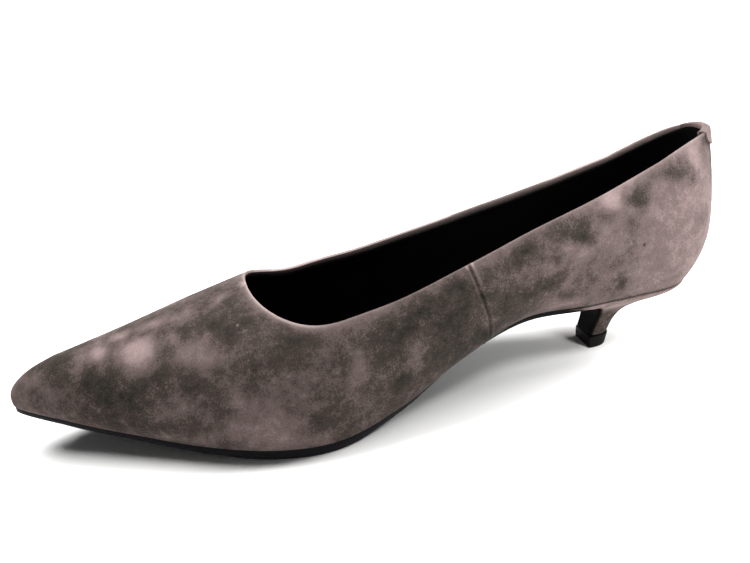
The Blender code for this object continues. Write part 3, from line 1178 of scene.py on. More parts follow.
@dataclass
class Upper:
    """Suede upper: folded top edge, side seam, creases and brushed patches."""

    wall: float = 1.0
    fold: float = 0.35
    fine: int = 3
    low_steps: int = 10
    high_steps: int = 30
    # The rows crowd towards the feather edge by this power
    low_power: float = 1.6
    # Share of a crease over which it sets in at either end
    crease_fade: float = 0.3
    lip: float = 0.32
    lip_place: float = 1.05
    lip_width: float = 0.5
    groove: float = 0.45
    groove_width: float = 0.36
    # Shares of the seam where it sets in and where it sinks under the fold, and what is left there
    seam_foot: Span = (0.0, 0.06)
    seam_head: Span = (1.0, 0.95)
    seam_left: float = 0.25
    seam_steps: int = 300
    # The lips are painted pale as highlights, most at the head, and the groove is painted dark as shade, all
    # weaker at the foot
    lip_highlight: float = 0.07
    lip_head_highlight: float = 0.2
    lip_head: Span = (0.93, 0.98)
    groove_shade: float = 0.22
    seam_foot_tone: float = 0.3
    seam_tone_fade: Span = (0.2, 0.5)
    # Painted shade in the groove where the upper meets the heel
    seat_front: float = 62.0
    seat_shade: float = 0.5
    seat_width: float = 0.32
    seat_steps: int = 80
    seat_round_steps: int = 160
    base_tone: float = 0.44
    # Sizes and reaches of the waver in the edges of the patches, and its seed
    waver: tuple[Span, ...] = ((9.0, 2.0), (3.5, 1.0))
    waver_seed: int = 1
    # On the outer side the first, large patches keep their place and the others lie out of step
    large_patches: int = 5
    outer_shift: float = 22.0
    outer_step: float = 0.2
    outer_strength: float = 0.85
    # Patches from this height up lie near the ridge, so they are laid once
    ridge_t: float = 0.9
    # Painted highlight on the nap below the top edge, where the rolled edge catches light, most along the
    # waist
    top_highlight_width: float = 3.6
    top_highlight_tone: float = 0.05
    waist_highlight_tone: float = 0.11
    waist_back: Span = (72.0, 88.0)
    waist_front: Span = (165.0, 145.0)
    # Painted shade on the inside of the outer wall, which looks across the foot, deepening below the edge
    far_facing: float = 0.4
    far_shade: float = 0.3
    far_fade: Span = (0.8, 2.0)
    # Painted highlight along the top edge, where the fold catches light: a soft band, as width and strength,
    # and a fine line, as strength; on the far inside the band stands in for light that the strip there misses
    throat_fade: Span = (148.0, 162.0)
    far_band: Span = (1.5, 0.85)
    side_band: Span = (1.9, 0.04)
    throat_band: Span = (1.4, 0.24)
    line_width: float = 0.45
    outer_line: float = 0.3
    side_line: float = 0.12
    throat_line: float = 0.42
    creases: tuple[Crease, ...] = (
        Crease(Side.INNER, (116.0, 0.62), (110.0, 0.16), 7.0, -0.5),
        Crease(Side.INNER, (150.0, 0.55), (128.0, 0.40), 9.0, -0.35),
        Crease(Side.INNER, (142.0, 0.98), (158.0, 0.80), 5.0, 0.25),
        Crease(Side.OUTER, (150.0, 0.60), (126.0, 0.42), 9.0, -0.4),
        Crease(Side.OUTER, (142.0, 0.98), (158.0, 0.80), 5.0, 0.25),
    )
    # Paler heel, dark waist, paler ball and dark toe, then the smaller patches from toe to heel
    patches: tuple[Patch, ...] = (
        Patch(22.0, 0.50, (56.0, 50.0), 0.13),
        Patch(108.0, 0.45, (24.0, 40.0), -0.17),
        Patch(172.0, 0.20, (14.0, 9.0), 0.13),
        Patch(222.0, 0.40, (16.0, 12.0), -0.12),
        Patch(248.0, 0.35, (9.0, 12.0), 0.05),
        Patch(238.0, 0.85, (6.0, 5.0), -0.10),
        Patch(237.0, 0.40, (8.0, 4.0), 0.07),
        Patch(231.5, 0.76, (3.0, 4.0), 0.12),
        Patch(224.5, 0.83, (2.8, 5.0), 0.28),
        Patch(228.0, 0.90, (4.5, 3.5), 0.12),
        Patch(228.5, 0.60, (3.5, 4.0), -0.12),
        Patch(212.5, 0.78, (6.5, 7.5), 0.34),
        Patch(209.0, 0.28, (5.0, 3.0), -0.10),
        Patch(196.5, 0.88, (4.0, 2.5), 0.08),
        Patch(188.0, 0.15, (5.0, 3.0), -0.08),
        Patch(173.0, 0.45, (3.0, 5.0), 0.10),
        Patch(217.5, 0.97, (3.5, 3.0), 0.25),
        Patch(222.5, 0.54, (6.0, 5.0), -0.12),
        Patch(210.5, 0.92, (3.0, 2.0), -0.10),
        Patch(201.0, 0.67, (3.5, 3.0), 0.08),
        Patch(195.5, 0.82, (5.0, 3.5), -0.10),
        Patch(195.5, 0.15, (5.0, 4.0), 0.12),
        Patch(180.0, 0.52, (4.5, 4.0), -0.09),
        Patch(208.0, 0.54, (6.0, 4.0), -0.08),
        Patch(208.0, 0.38, (4.0, 3.5), 0.10),
        Patch(206.0, 0.97, (5.0, 3.0), 0.20),
        Patch(205.0, 0.10, (6.0, 2.0), 0.10),
        Patch(201.0, 0.42, (4.0, 3.5), 0.08),
        Patch(200.5, 0.80, (2.4, 2.2), 0.22),
        Patch(191.0, 0.62, (4.0, 4.0), 0.06),
        Patch(188.5, 0.82, (4.0, 5.0), -0.12),
        Patch(187.0, 0.27, (5.0, 4.0), 0.07),
        Patch(182.0, 0.44, (4.0, 6.0), 0.12),
        Patch(197.0, 0.53, (5.0, 4.0), -0.12),
        Patch(196.5, 0.95, (5.0, 2.5), 0.13),
        Patch(194.0, 0.69, (8.0, 8.0), 0.19),
        Patch(184.0, 0.75, (7.0, 5.5), -0.16),
        Patch(184.0, 0.97, (3.0, 3.0), 0.14),
        Patch(181.0, 0.90, (3.5, 3.5), -0.12),
        Patch(178.0, 0.78, (4.0, 4.0), -0.07),
        Patch(164.0, 0.52, (4.0, 3.0), 0.08),
        Patch(161.0, 0.12, (4.0, 3.0), 0.09),
        Patch(158.0, 0.78, (3.0, 4.0), 0.08),
        Patch(134.5, 0.54, (4.0, 4.0), -0.10),
        Patch(122.0, 0.80, (3.0, 3.0), -0.08),
        Patch(112.0, 0.72, (3.0, 3.0), 0.08),
        Patch(178.0, 0.35, (8.0, 6.0), 0.06),
        Patch(176.0, 0.55, (4.5, 4.0), -0.10),
        Patch(166.0, 0.80, (6.0, 6.0), -0.12),
        Patch(166.0, 0.62, (4.0, 3.5), 0.08),
        Patch(161.0, 0.25, (5.0, 4.5), -0.15),
        Patch(157.0, 0.22, (6.0, 5.0), -0.06),
        Patch(151.0, 0.70, (4.0, 4.5), -0.10),
        Patch(147.0, 0.62, (4.5, 5.0), 0.14),
        Patch(139.5, 0.73, (3.5, 4.0), -0.06),
        Patch(135.0, 0.80, (6.0, 4.5), -0.10),
        Patch(134.0, 0.93, (5.0, 2.5), 0.10),
        Patch(131.5, 0.28, (3.5, 4.0), -0.18),
        Patch(127.5, 0.68, (3.0, 3.0), -0.10),
        Patch(127.0, 0.50, (4.0, 6.0), 0.16),
        Patch(121.0, 0.58, (3.0, 6.0), 0.10),
        Patch(112.0, 0.58, (4.0, 4.0), -0.06),
        Patch(100.5, 0.35, (2.5, 10.0), 0.13),
        Patch(97.0, 0.76, (3.0, 7.0), 0.08),
        Patch(124.0, 0.82, (4.0, 3.5), -0.08),
        Patch(117.0, 0.93, (5.0, 2.5), 0.10),
        Patch(103.0, 0.86, (3.5, 5.0), 0.16),
        Patch(99.0, 0.18, (3.0, 4.0), -0.10),
        Patch(92.0, 0.15, (4.0, 3.5), 0.08),
        Patch(84.5, 0.45, (3.5, 6.0), 0.08),
        Patch(86.5, 0.76, (4.5, 4.0), -0.13),
        Patch(74.0, 0.38, (4.0, 3.0), 0.09),
        Patch(79.0, 0.27, (8.0, 3.2), -0.26),
        Patch(79.0, 0.50, (3.0, 4.0), 0.06),
        Patch(74.5, 0.50, (3.5, 3.5), -0.10),
        Patch(69.5, 0.08, (9.0, 2.5), 0.18),
        Patch(69.0, 0.60, (3.5, 3.0), 0.10),
        Patch(67.0, 0.77, (6.5, 5.0), -0.16),
        Patch(65.0, 0.17, (6.0, 3.0), -0.10),
        Patch(64.0, 0.50, (6.0, 4.0), 0.07),
        Patch(65.5, 0.73, (4.0, 2.4), 0.08),
        Patch(61.0, 0.65, (4.0, 3.6), -0.22),
        Patch(54.0, 0.60, (3.5, 3.0), 0.07),
        Patch(63.5, 0.40, (3.0, 3.0), 0.06),
        Patch(61.0, 0.80, (4.0, 4.0), -0.08),
        Patch(54.0, 0.78, (3.0, 3.0), -0.08),
        Patch(50.5, 0.87, (4.5, 3.5), 0.17),
        Patch(47.5, 0.14, (4.0, 3.2), -0.24),
        Patch(46.5, 0.27, (6.5, 3.6), -0.13),
        Patch(53.0, 0.80, (3.0, 3.0), -0.06),
        Patch(66.5, 0.65, (3.5, 3.0), -0.10),
        Patch(68.5, 0.20, (4.0, 3.0), 0.08),
        Patch(83.0, 0.86, (4.0, 3.0), -0.08),
        Patch(88.0, 0.60, (3.0, 3.5), 0.08),
        Patch(44.0, 0.45, (3.5, 5.5), -0.12),
        Patch(42.0, 0.94, (3.5, 2.5), 0.14),
        Patch(39.5, 0.77, (4.2, 6.5), -0.26),
        Patch(36.5, 0.61, (3.5, 4.5), 0.12),
        Patch(36.0, 0.48, (3.5, 3.0), -0.06),
        Patch(31.0, 0.88, (4.5, 3.5), -0.16),
        Patch(26.0, 0.85, (4.5, 4.5), -0.22),
        Patch(22.5, 0.70, (3.2, 3.2), -0.22),
        Patch(20.0, 0.86, (3.0, 4.0), 0.09),
        Patch(17.0, 0.35, (5.0, 4.0), -0.08),
        Patch(11.0, 0.70, (2.0, 5.0), -0.14),
        Patch(8.0, 0.88, (8.0, 8.0), -0.16),
        Patch(14.0, 0.97, (5.0, 4.0), -0.12),
    )

    def steps(self) -> np.ndarray:
        """Heights of the rows, from the feather edge to the top."""
        low = LAST.bulge_share * np.linspace(0, 1, self.low_steps + 1) ** self.low_power
        return np.concatenate([low, np.linspace(LAST.bulge_share, 1, self.high_steps + 1)[1:]])

    def build(self) -> Piece:
        """Model the shell and dress it.

        Returns:
            The upper.
        """
        halves = [sheet("half", LAST.wall(side, 0.0, self.steps(), self.fine)) for side in Side]
        piece = join("suede_upper", halves)
        face_out(piece)
        outer = len(piece.data.vertices)
        apply(piece, "SOLIDIFY", thickness=self.wall * MM, offset=-1.0, use_even_offset=True)
        self.press(piece, outer)
        self.sew(piece, outer)
        round_edges(piece, width=self.fold, segments=3, angle=50.0)
        self.brush(piece)
        shade(piece)
        return seat(piece, SUEDE, "upper")

    def press(self, piece: Piece, outer: int) -> None:
        """Press the creases into the outer face.

        Args:
            piece: The upper.
            outer: How many points its outer face has, which come first.
        """
        places, out = coords(piece), normals(piece)
        for crease in self.creases:
            gap, share = nearest(places, crease.path())
            ends = fade(share, 0.0, self.crease_fade) * fade(share, 1.0, 1.0 - self.crease_fade)
            push = crease.height * ends * bell(gap, crease.width)
            push[outer:] = 0.0
            places += out * push[:, None]
        set_coords(piece, places)

    def seam(self) -> np.ndarray:
        """Course of the inner side seam, from the feather edge up.

        Returns:
            Places along it.
        """
        head = LAST.seam_x
        line = Line(Region.SIDE, head - LAST.seam_lean, head, LAST.cut_angle(head, Side.INNER, 0.0, 0.0))
        return LAST.points(line, Side.INNER, np.linspace(0, 1, self.seam_steps), 0.0)

    def sew(self, piece: Piece, outer: int) -> None:
        """Raise the two lips of the inner side seam beside its groove.

        Args:
            piece: The upper.
            outer: How many points its outer face has, which come first.
        """
        places, out = coords(piece), normals(piece)
        gap, share = nearest(places, self.seam())
        rise = self.lip * bell(gap - self.lip_place, self.lip_width)
        rise -= self.groove * bell(gap, self.groove_width)
        head = between(self.seam_left, 1.0, fade(share, *self.seam_head))
        push = rise * fade(share, *self.seam_foot) * head
        push[outer:] = 0.0
        set_coords(piece, places + out * push[:, None])

    def patch_tone(self, places: np.ndarray) -> np.ndarray:
        """Tone of the nap with its patches, whose edges waver.

        Args:
            places: Places on the last.

        Returns:
            Tones at the places.
        """
        noise.seed_set(self.waver_seed)
        moved = places.copy()
        for size, reach in self.waver:
            moved += np.array([noise.noise_vector(Vector(place) / size) for place in places]) * reach
        tone = np.full(len(places), self.base_tone)
        for k, patch in enumerate(self.patches):
            tone += patch.over(moved, Side.INNER, 0.0)
            if patch.t < self.ridge_t:
                step = math.cos(self.outer_step * k) if k >= self.large_patches else 0.0
                tone += self.outer_strength * patch.over(moved, Side.OUTER, self.outer_shift * step)
        return tone

    def seam_tone(self, places: np.ndarray) -> np.ndarray:
        """Painted highlights on the lips of the seam, painted shade in its groove, and painted shade in the
        groove at the heel.

        Args:
            places: Places on the last.

        Returns:
            Tones to add at the places.
        """
        gap, share = nearest(places, self.seam())
        # Painted highlights on the seam's lips
        lips = self.lip_highlight + self.lip_head_highlight * fade(share, *self.lip_head)
        lips = lips * bell(gap - self.lip_place, self.lip_width)
        # Painted shade in the seam's groove
        groove = self.groove_shade * bell(gap, self.groove_width)
        strength = between(self.seam_foot_tone, 1.0, fade(share, *self.seam_tone_fade))
        xs = np.linspace(self.seat_front, LAST.heel_x, self.seat_steps)
        seat_edge = np.concatenate([LAST.feather(side, 0.0, xs, 0, self.seat_round_steps) for side in Side])
        seat_gap, _ = nearest(places, seat_edge)
        # Painted shade in the groove along the heel
        return (lips - groove) * strength - self.seat_shade * bell(seat_gap, self.seat_width)

    def top_edge(self, fine: int = 6) -> np.ndarray:
        """Places along the top edge, from the throat to the back on both sides."""
        ahead = (LAST.toe_lines + LAST.vamp_lines) * fine
        return np.concatenate([LAST.wall(side, 0.0, np.ones(1), fine)[ahead:, 0] for side in Side])

    def brush(self, piece: Piece) -> None:
        """Brush the patches into the nap and paint the shade and highlights of the seams, the far wall and
        the top edge.

        Args:
            piece: The upper.
        """
        places = coords(piece)
        x, y = places[:, 0], places[:, 1]
        gap, _ = nearest(places, self.top_edge())
        far_inside = (normals(piece)[:, 1] > self.far_facing) & (y < 0)
        waist = fade(x, *self.waist_back) * fade(x, *self.waist_front)
        tone = self.patch_tone(places) + self.seam_tone(places)
        # Painted highlight below the top edge
        tone += (self.top_highlight_tone + self.waist_highlight_tone * waist) * bell(gap, self.top_highlight_width)
        # Painted shade inside the outer wall
        tone -= np.where(far_inside, self.far_shade * fade(gap, *self.far_fade), 0.0)
        paint(piece, "nap_and_painted_light", tone)
        throat = fade(x, *self.throat_fade)
        width, strength = (
            np.where(far_inside, far, between(beside, ahead, throat))
            for far, beside, ahead in zip(self.far_band, self.side_band, self.throat_band)
        )
        line = np.where(y < 0, self.outer_line, between(self.side_line, self.throat_line, throat))
        # Painted highlight along the top edge, strongest on the far inside and at the throat
        pale_highlight = line * bell(gap, self.line_width) + strength * bell(gap, width)
        paint(piece, "edge_highlight", np.minimum(pale_highlight, 1.0))


@dataclass
class Lining:
    """Black leather lining, a little under the folded edge."""

    inset: float = 1.05
    thick: float = 0.8
    drop: float = 0.35
    outer_drop: float = 2.2
    fine: int = 2
    steps: int = 30

    def build(self) -> Piece:
        """Model the lining and dress it.

        Returns:
            The lining.
        """
        shares = np.linspace(0, 1, self.steps + 1)
        extra = {Side.INNER: 0.0, Side.OUTER: self.outer_drop}
        walls = [LAST.wall(side, self.inset, shares, self.fine, self.drop, extra[side]) for side in Side]
        piece = join("black_lining", [sheet("half", wall) for wall in walls])
        face_out(piece)
        apply(piece, "SOLIDIFY", thickness=self.thick * MM, offset=-1.0, use_even_offset=True)
        round_edges(piece, width=0.25, segments=2, angle=50.0)
        shade(piece)
        return seat(piece, LINING)


@dataclass
class Sock:
    """Padded black sock on the insole board."""

    inset: float = 1.55
    board_inset: float = 0.8
    sink: float = 0.15
    thick: float = 1.1
    crown: float = 0.5
    # Fullness of the crown across, and the width from which it has its full height
    crown_power: float = 0.6
    crown_width: float = 20.0
    across: int = 24
    along: int = 90
    toe_rings: int = 10
    heel_rings: int = 14

    def build(self) -> Piece:
        """Model the sock and dress it.

        Returns:
            The sock.
        """
        xs = np.linspace(LAST.toe_x, LAST.heel_x, self.along)
        edges = [
            LAST.feather(side, inset, xs, self.toe_rings, self.heel_rings)
            for inset in (self.inset, self.board_inset)
            for side in Side
        ]
        share = np.linspace(0, 1, self.across + 1)
        arch = self.crown * np.sin(math.pi * share) ** self.crown_power
        rings = []
        for a, b, c, d in zip(*edges):
            ys = between(a[1], b[1], share)
            top = a[2] + self.thick + arch * min((a[1] - b[1]) / self.crown_width, 1)
            over = np.stack([np.full_like(ys, a[0]), ys, top], -1)
            under = np.linspace(d, c, self.across + 1) - (0.0, 0.0, self.sink)
            rings.append(np.concatenate([over, under]))
        piece = tube("black_sock", np.array(rings))
        round_edges(piece, width=0.4, segments=2, angle=55.0)
        shade(piece)
        return seat(piece, SOCK, "insole")


@dataclass
class Sole:
    """Thin black sole from the toe to the front of the heel."""

    inset: float = 0.3
    # How far its top is pressed into the upper
    press: float = 0.25
    end_x: float = 50.4
    place_x: Row = (8.0, 30.0, 55.0, 80.0, 105.0, 130.0, 155.0, 175.0, 195.0, 215.0, 240.0, 254.0)
    thick: Row = (2.6, 2.6, 2.6, 2.8, 3.2, 3.9, 4.0, 4.0, 3.3, 2.8, 2.6, 2.4)
    bevel: Row = (2.5, 2.5, 1.2, 1.2, 3.4, 2.6, 0.7, 0.6, 0.6, 0.6, 0.6, 0.6)
    # Most of the width that a bevel takes, and how far the tip is cut back underneath
    bevel_share: float = 0.3
    tip_cut: float = 0.6
    # Painted reflection of the floor from these shares of the thickness and places along the last
    scuff_share: Span = (0.3, 0.7)
    scuff_x: Span = (120.0, 150.0)
    across: int = 16
    along: int = 130
    toe_rings: int = 14

    def build(self) -> Piece:
        """Model the sole and dress it.

        Returns:
            The sole.
        """
        xs = np.linspace(LAST.toe_x, self.end_x, self.along)
        edges = [LAST.feather(side, self.inset, xs, self.toe_rings, 0) for side in Side]
        share = np.linspace(0, 1, self.across + 1)
        rings = []
        for a, b in zip(*edges):
            top = float(LAST.size("feather_z", a[0])) + self.press
            floor = max(top - float(smooth_curve(self.place_x, self.thick, a[0])), 0.0)
            width = max(a[1] - b[1], 1e-6)
            cut = min(float(smooth_curve(self.place_x, self.bevel, a[0])), self.bevel_share * width)
            over = np.stack([np.full_like(share, a[0]), b[1] + width * share, np.full_like(share, top)], -1)
            low = a[1] - cut - (width - 2 * cut) * share
            under = np.stack([np.full_like(share, a[0]), low, np.full_like(share, floor)], -1)
            rings.append(np.concatenate([over, under]))
        rings[0][self.across + 1 :, 0] -= self.tip_cut
        piece = tube("black_sole", np.array(rings))
        round_edges(piece, width=0.35, segments=2, angle=40.0)
        self.scuff(piece)
        shade(piece, angle=50.0)
        return seat(piece, SOLE_EDGE, "outsole")

    def scuff(self, piece: Piece) -> None:
        """Paint a grey reflection of the floor on the lower edge under the ball and toe.

        Args:
            piece: The sole.
        """
        places = coords(piece)
        x = places[:, 0]
        top = LAST.size("feather_z", x) + self.press
        share = (top - places[:, 2]) / smooth_curve(self.place_x, self.thick, x)
        # Painted reflection of the floor on the lower part of the edge
        paint(piece, "scuff", fade(share, *self.scuff_share) * fade(x, *self.scuff_x))


@dataclass
class Heel:
    """Low heel: suede cover with wings, black breast and black lift."""

    seat_front: float = 50.0
    seat_z: float = 25.2
    seat_inset: float = 0.3
    power: float = 2.6
    levels: Row = (25.6, 23.4, 21.6, 19.6, 17.6, 15.8, 14.0, 12.0, 10.0, 7.5, 4.9)
    spread: Row = (1.0, 0.97, 0.78, 0.5, 0.27, 0.12, 0.04, 0.01, 0.0, 0.0, 0.0)
    back: Row = (31.0, 31.0, 31.2, 31.6, 32.0, 33.0, 34.3, 35.8, 37.1, 38.4, 39.6)
    front: Row = (48.0, 48.0, 47.0, 45.6, 44.8, 44.5, 44.7, 45.2, 45.8, 46.6, 47.4)
    half: Row = (8.4, 8.2, 8.0, 7.8, 7.5, 7.1, 6.7, 6.4, 6.0, 5.6, 5.4)
    gap: float = 0.3
    breast_thick: float = 0.9
    breast_top: float = 17.6
    lift_levels: Row = (0.0, 4.6)
    lift_back: Row = (40.3, 39.1)
    lift_front: Row = (48.7, 48.6)
    lift_half: Row = (5.9, 6.0)
    wing_start: float = 46.0
    wing_end: float = 64.0
    wing_height: float = 2.3
    wing_thick: float = 0.9
    # What is left of both at the tip of a wing
    tip_height: float = 0.25
    tip_thick: float = 0.05
    # How far a wing lies under the feather edge, stands out from it, leans in and is raised inside
    wing_drop: float = 0.35
    wing_stand: float = 0.1
    wing_slope: float = 0.8
    wing_lift: float = 0.02
    # Tone of the cover, with painted shade down the stem under the seat and in a line along its rim, in the
    # groove under the upper
    cover_tone: float = 0.66
    stem_shade: float = 0.3
    stem_fade: Span = (21.0, 12.0)
    rim_shade: float = 0.45
    rim_width: float = 0.5
    # Tone of the wings, darker towards their tips
    wing_tone: float = 0.68
    wing_tip_tone: float = 0.4
    wing_fade: Span = (55.0, 62.0)
    # Places along the seat's sides, round its back, round the lift, down a wing and across
    # the breast, and rings of each part
    seat_steps: int = 9
    round_steps: int = 16
    lift_steps: int = 33
    wing_steps: int = 5
    breast_steps: int = 9
    cover_rings: int = 42
    wing_rings: int = 24
    breast_rings: int = 18
    lift_rings: int = 6

    def size(self, name: str, z: float) -> float:
        """One row of sizes at a level."""
        return float(smooth_curve(self.levels[::-1], getattr(self, name)[::-1], z))

    def stem(self, back: float, front: float, half: float, count: int) -> Pair:
        """Outline of the stem, flat in front and round behind.

        Args:
            back: Its x at the back.
            front: Its x at the front.
            half: Its half-width.
            count: How many places to give.

        Returns:
            The places' x and y.
        """
        angle = np.pi * np.arange(count) / (count - 1)
        x = front - (front - back) * np.abs(np.sin(angle)) ** (2 / self.power)
        y = half * np.sign(np.cos(angle)) * np.abs(np.cos(angle)) ** (2 / self.power)
        return x, y

    def outline(self, z: float) -> np.ndarray:
        """Outline at a level, from the inner front corner round the back.

        Args:
            z: Height above the floor.

        Returns:
            Places on the last.
        """
        spread = min(max(self.size("spread", z), 0.0), 1.0)
        back, front, half = (self.size(name, z) for name in ("back", "front", "half"))
        foot = np.zeros(1)
        rims = []
        for side in Side:
            xs = np.linspace(self.seat_front, LAST.heel_x, self.seat_steps)
            turns = [(k + 1) / self.round_steps for k in range(self.round_steps)]
            rim = [LAST.points(Line(Region.SIDE, x, x), side, foot, self.seat_inset)[0] for x in xs]
            rim += [LAST.heel_points(turn, side, foot, self.seat_inset)[0] for turn in turns]
            rims.append(rim)
        rim = np.array(rims[0] + rims[1][-2::-1])
        x, y = self.stem(back, front, half, len(rim))
        x, y = between(x, rim[:, 0], spread), between(y, rim[:, 1], spread)
        rise = (LAST.size("feather_z", rim[:, 0]) - self.seat_z) * spread
        return np.stack([x, y, z + rise], -1)

    def build(self) -> list[Piece]:
        """Model the parts of the heel and dress them.

        Returns:
            Cover, wings, breast and lift.
        """
        return [self.build_cover(), self.build_wings(), self.build_breast(), self.build_lift()]

    def build_cover(self) -> Piece:
        """Model the suede-covered heel block and dress it.

        Returns:
            The cover.
        """
        zs = np.linspace(self.levels[0], self.levels[-1], self.cover_rings)
        piece = tube("heel_cover", np.array([self.outline(z) for z in zs]))
        round_edges(piece, width=0.4, segments=2, angle=45.0)
        x, _, z = coords(piece).T
        rim = LAST.size("feather_z", x) - z
        # Painted shade down the stem and in the groove along the rim
        dark = self.stem_shade * fade(z, *self.stem_fade) + self.rim_shade * bell(rim, self.rim_width)
        paint(piece, "nap_and_painted_light", self.cover_tone - dark)
        shade(piece, angle=45.0)
        return seat(piece, SUEDE, "heel")

    def build_wings(self) -> Piece:
        """Model the ends of the cover that taper forward along the sole's edge, and dress them.

        Returns:
            Both wings as one piece.
        """
        parts = []
        for side in Side:
            rings = []
            for x in np.linspace(self.wing_start, self.wing_end, self.wing_rings):
                share = (x - self.wing_start) / (self.wing_end - self.wing_start)
                foot = LAST.points(Line(Region.SIDE, x, x), side, np.zeros(1), 0.0)[0]
                tall = self.wing_height * (1 - share**2) + self.tip_height
                thick = self.wing_thick * (1 - share**3) + self.tip_thick
                down = np.linspace(0, tall, self.wing_steps)
                ys = foot[1] - side.value * (self.wing_slope * down - self.wing_stand)
                zs = foot[2] - self.wing_drop - down
                outer = [(x, y, z) for y, z in zip(ys, zs)]
                inner = [(x, y - side.value * thick, z + self.wing_lift) for _, y, z in outer[::-1]]
                rings.append(outer + inner)
            parts.append(tube("wing", np.array(rings)))
        piece = join("heel_cover_wings", parts)
        tip = fade(coords(piece)[:, 0], *self.wing_fade)
        paint(piece, "nap_and_painted_light", self.wing_tone - self.wing_tip_tone * tip)
        shade(piece, angle=50.0)
        return seat(piece, SUEDE)

    def build_breast(self) -> Piece:
        """Model the black leather on the front of the stem and dress it.

        Returns:
            The breast.
        """
        rings = []
        for z in np.linspace(self.lift_levels[-1] + self.gap, self.breast_top, self.breast_rings):
            ring = self.outline(z)
            x, a, b = ring[0][0] + self.gap, ring[0][1] - self.gap, ring[-1][1] + self.gap
            ys = np.linspace(a, b, self.breast_steps)
            near = [(x, y, z) for y in ys]
            far = [(x + self.breast_thick, y, z) for y in ys[::-1]]
            rings.append(near + far)
        piece = tube("black_breast", np.array(rings))
        round_edges(piece, width=0.25, segments=2, angle=45.0)
        shade(piece, angle=45.0)
        return seat(piece, BREAST, "heel_breast")

    def build_lift(self) -> Piece:
        """Model the black rubber lift on the floor and dress it.

        Returns:
            The lift.
        """
        rows = (self.lift_back, self.lift_front, self.lift_half)
        rings = []
        for z in np.linspace(self.lift_levels[0], self.lift_levels[1], self.lift_rings):
            back, front, half = (between(*row, z / self.lift_levels[1]) for row in rows)
            x, y = self.stem(back, front, half, self.lift_steps)
            rings.append(np.stack([x, y, np.full_like(x, z)], -1))
        piece = tube("black_lift", np.array(rings))
        round_edges(piece, width=0.35, segments=2, angle=45.0)
        shade(piece, angle=45.0)
        return seat(piece, LIFT, "toplift")


@dataclass
class BackTab:
    """Suede tab folded over the top of the back."""

    inner_end: float = 0.56
    outer_end: float = 0.72
    drop: float = 0.135
    edge_drop: float = 0.03
    inner_drop: float = 0.025
    wall: float = 1.8
    gap: float = 0.12
    thick: float = 0.6
    far_thick: float = 0.15
    tone: float = 0.64
    # Angle at which the fold over the edge begins and ends, in radians from level
    fold_start: float = 0.25
    outside_steps: int = 9
    fold_steps: int = 7
    inside_steps: int = 6
    count: int = 18

    def path(self, q: float, side: Side, drop: float, clear: float) -> np.ndarray:
        """Line from outside, over the top edge and inside.

        Args:
            q: Share round the heel.
            side: Side of the foot.
            drop: How far down the outside it starts.
            clear: How far it stands off the upper.

        Returns:
            Places on the last.
        """
        up = np.linspace(1 - drop, 1, self.outside_steps)
        down = np.linspace(1, 1 - self.inner_drop, self.inside_steps)
        outside = LAST.heel_points(q, side, up, 0.0)
        inside = LAST.heel_points(q, side, down, self.wall)
        away = outside[-1] - inside[0]
        away[2] = 0.0
        away /= np.linalg.norm(away)
        middle = (outside[-1] + inside[0]) / 2
        reach = np.linalg.norm(outside[-1] - inside[0]) / 2 + clear
        turn = np.linspace(self.fold_start, np.pi - self.fold_start, self.fold_steps)
        over = middle + np.outer(np.cos(turn), away) * reach + np.outer(np.sin(turn), (0, 0, 1)) * clear
        return np.concatenate([outside[:-1] + away * clear, over, inside[1:] - away * clear])

    def build(self) -> Piece:
        """Model the tab and dress it.

        Returns:
            The tab.
        """
        rings = []
        for k in range(-self.count, self.count + 1):
            share = abs(k) / self.count
            drop = between(self.edge_drop, self.drop, math.sqrt(max(1 - share**2, 0)))
            side = Side.OUTER if k < 0 else Side.INNER
            q = 1 - (1 - (self.outer_end if k < 0 else self.inner_end)) * share
            near = self.path(q, side, drop, self.gap)
            thick = between(self.thick, self.far_thick, float(fade(-k, 0, self.count)))
            far = self.path(q, side, drop, self.gap + thick)
            rings.append(np.concatenate([near, far[::-1]]))
        piece = tube("suede_tab", np.array(rings))
        round_edges(piece, width=0.2, segments=2, angle=50.0)
        paint(piece, "nap_and_painted_light", np.full(len(piece.data.vertices), self.tone))
        shade(piece)
        return seat(piece, SUEDE, "back_tab")


@dataclass(frozen=True)
class Fill:
    """Spot that lightens the shade on one part of the shoe.

    Attributes:
        name: Name of the light.
        at: Its place, in metres.
        aim: Where it points.
        power: Its strength.
        cone: Angle of its cone, in degrees.
    """

    name: str
    at: Point
    aim: Point
    power: float
    cone: float


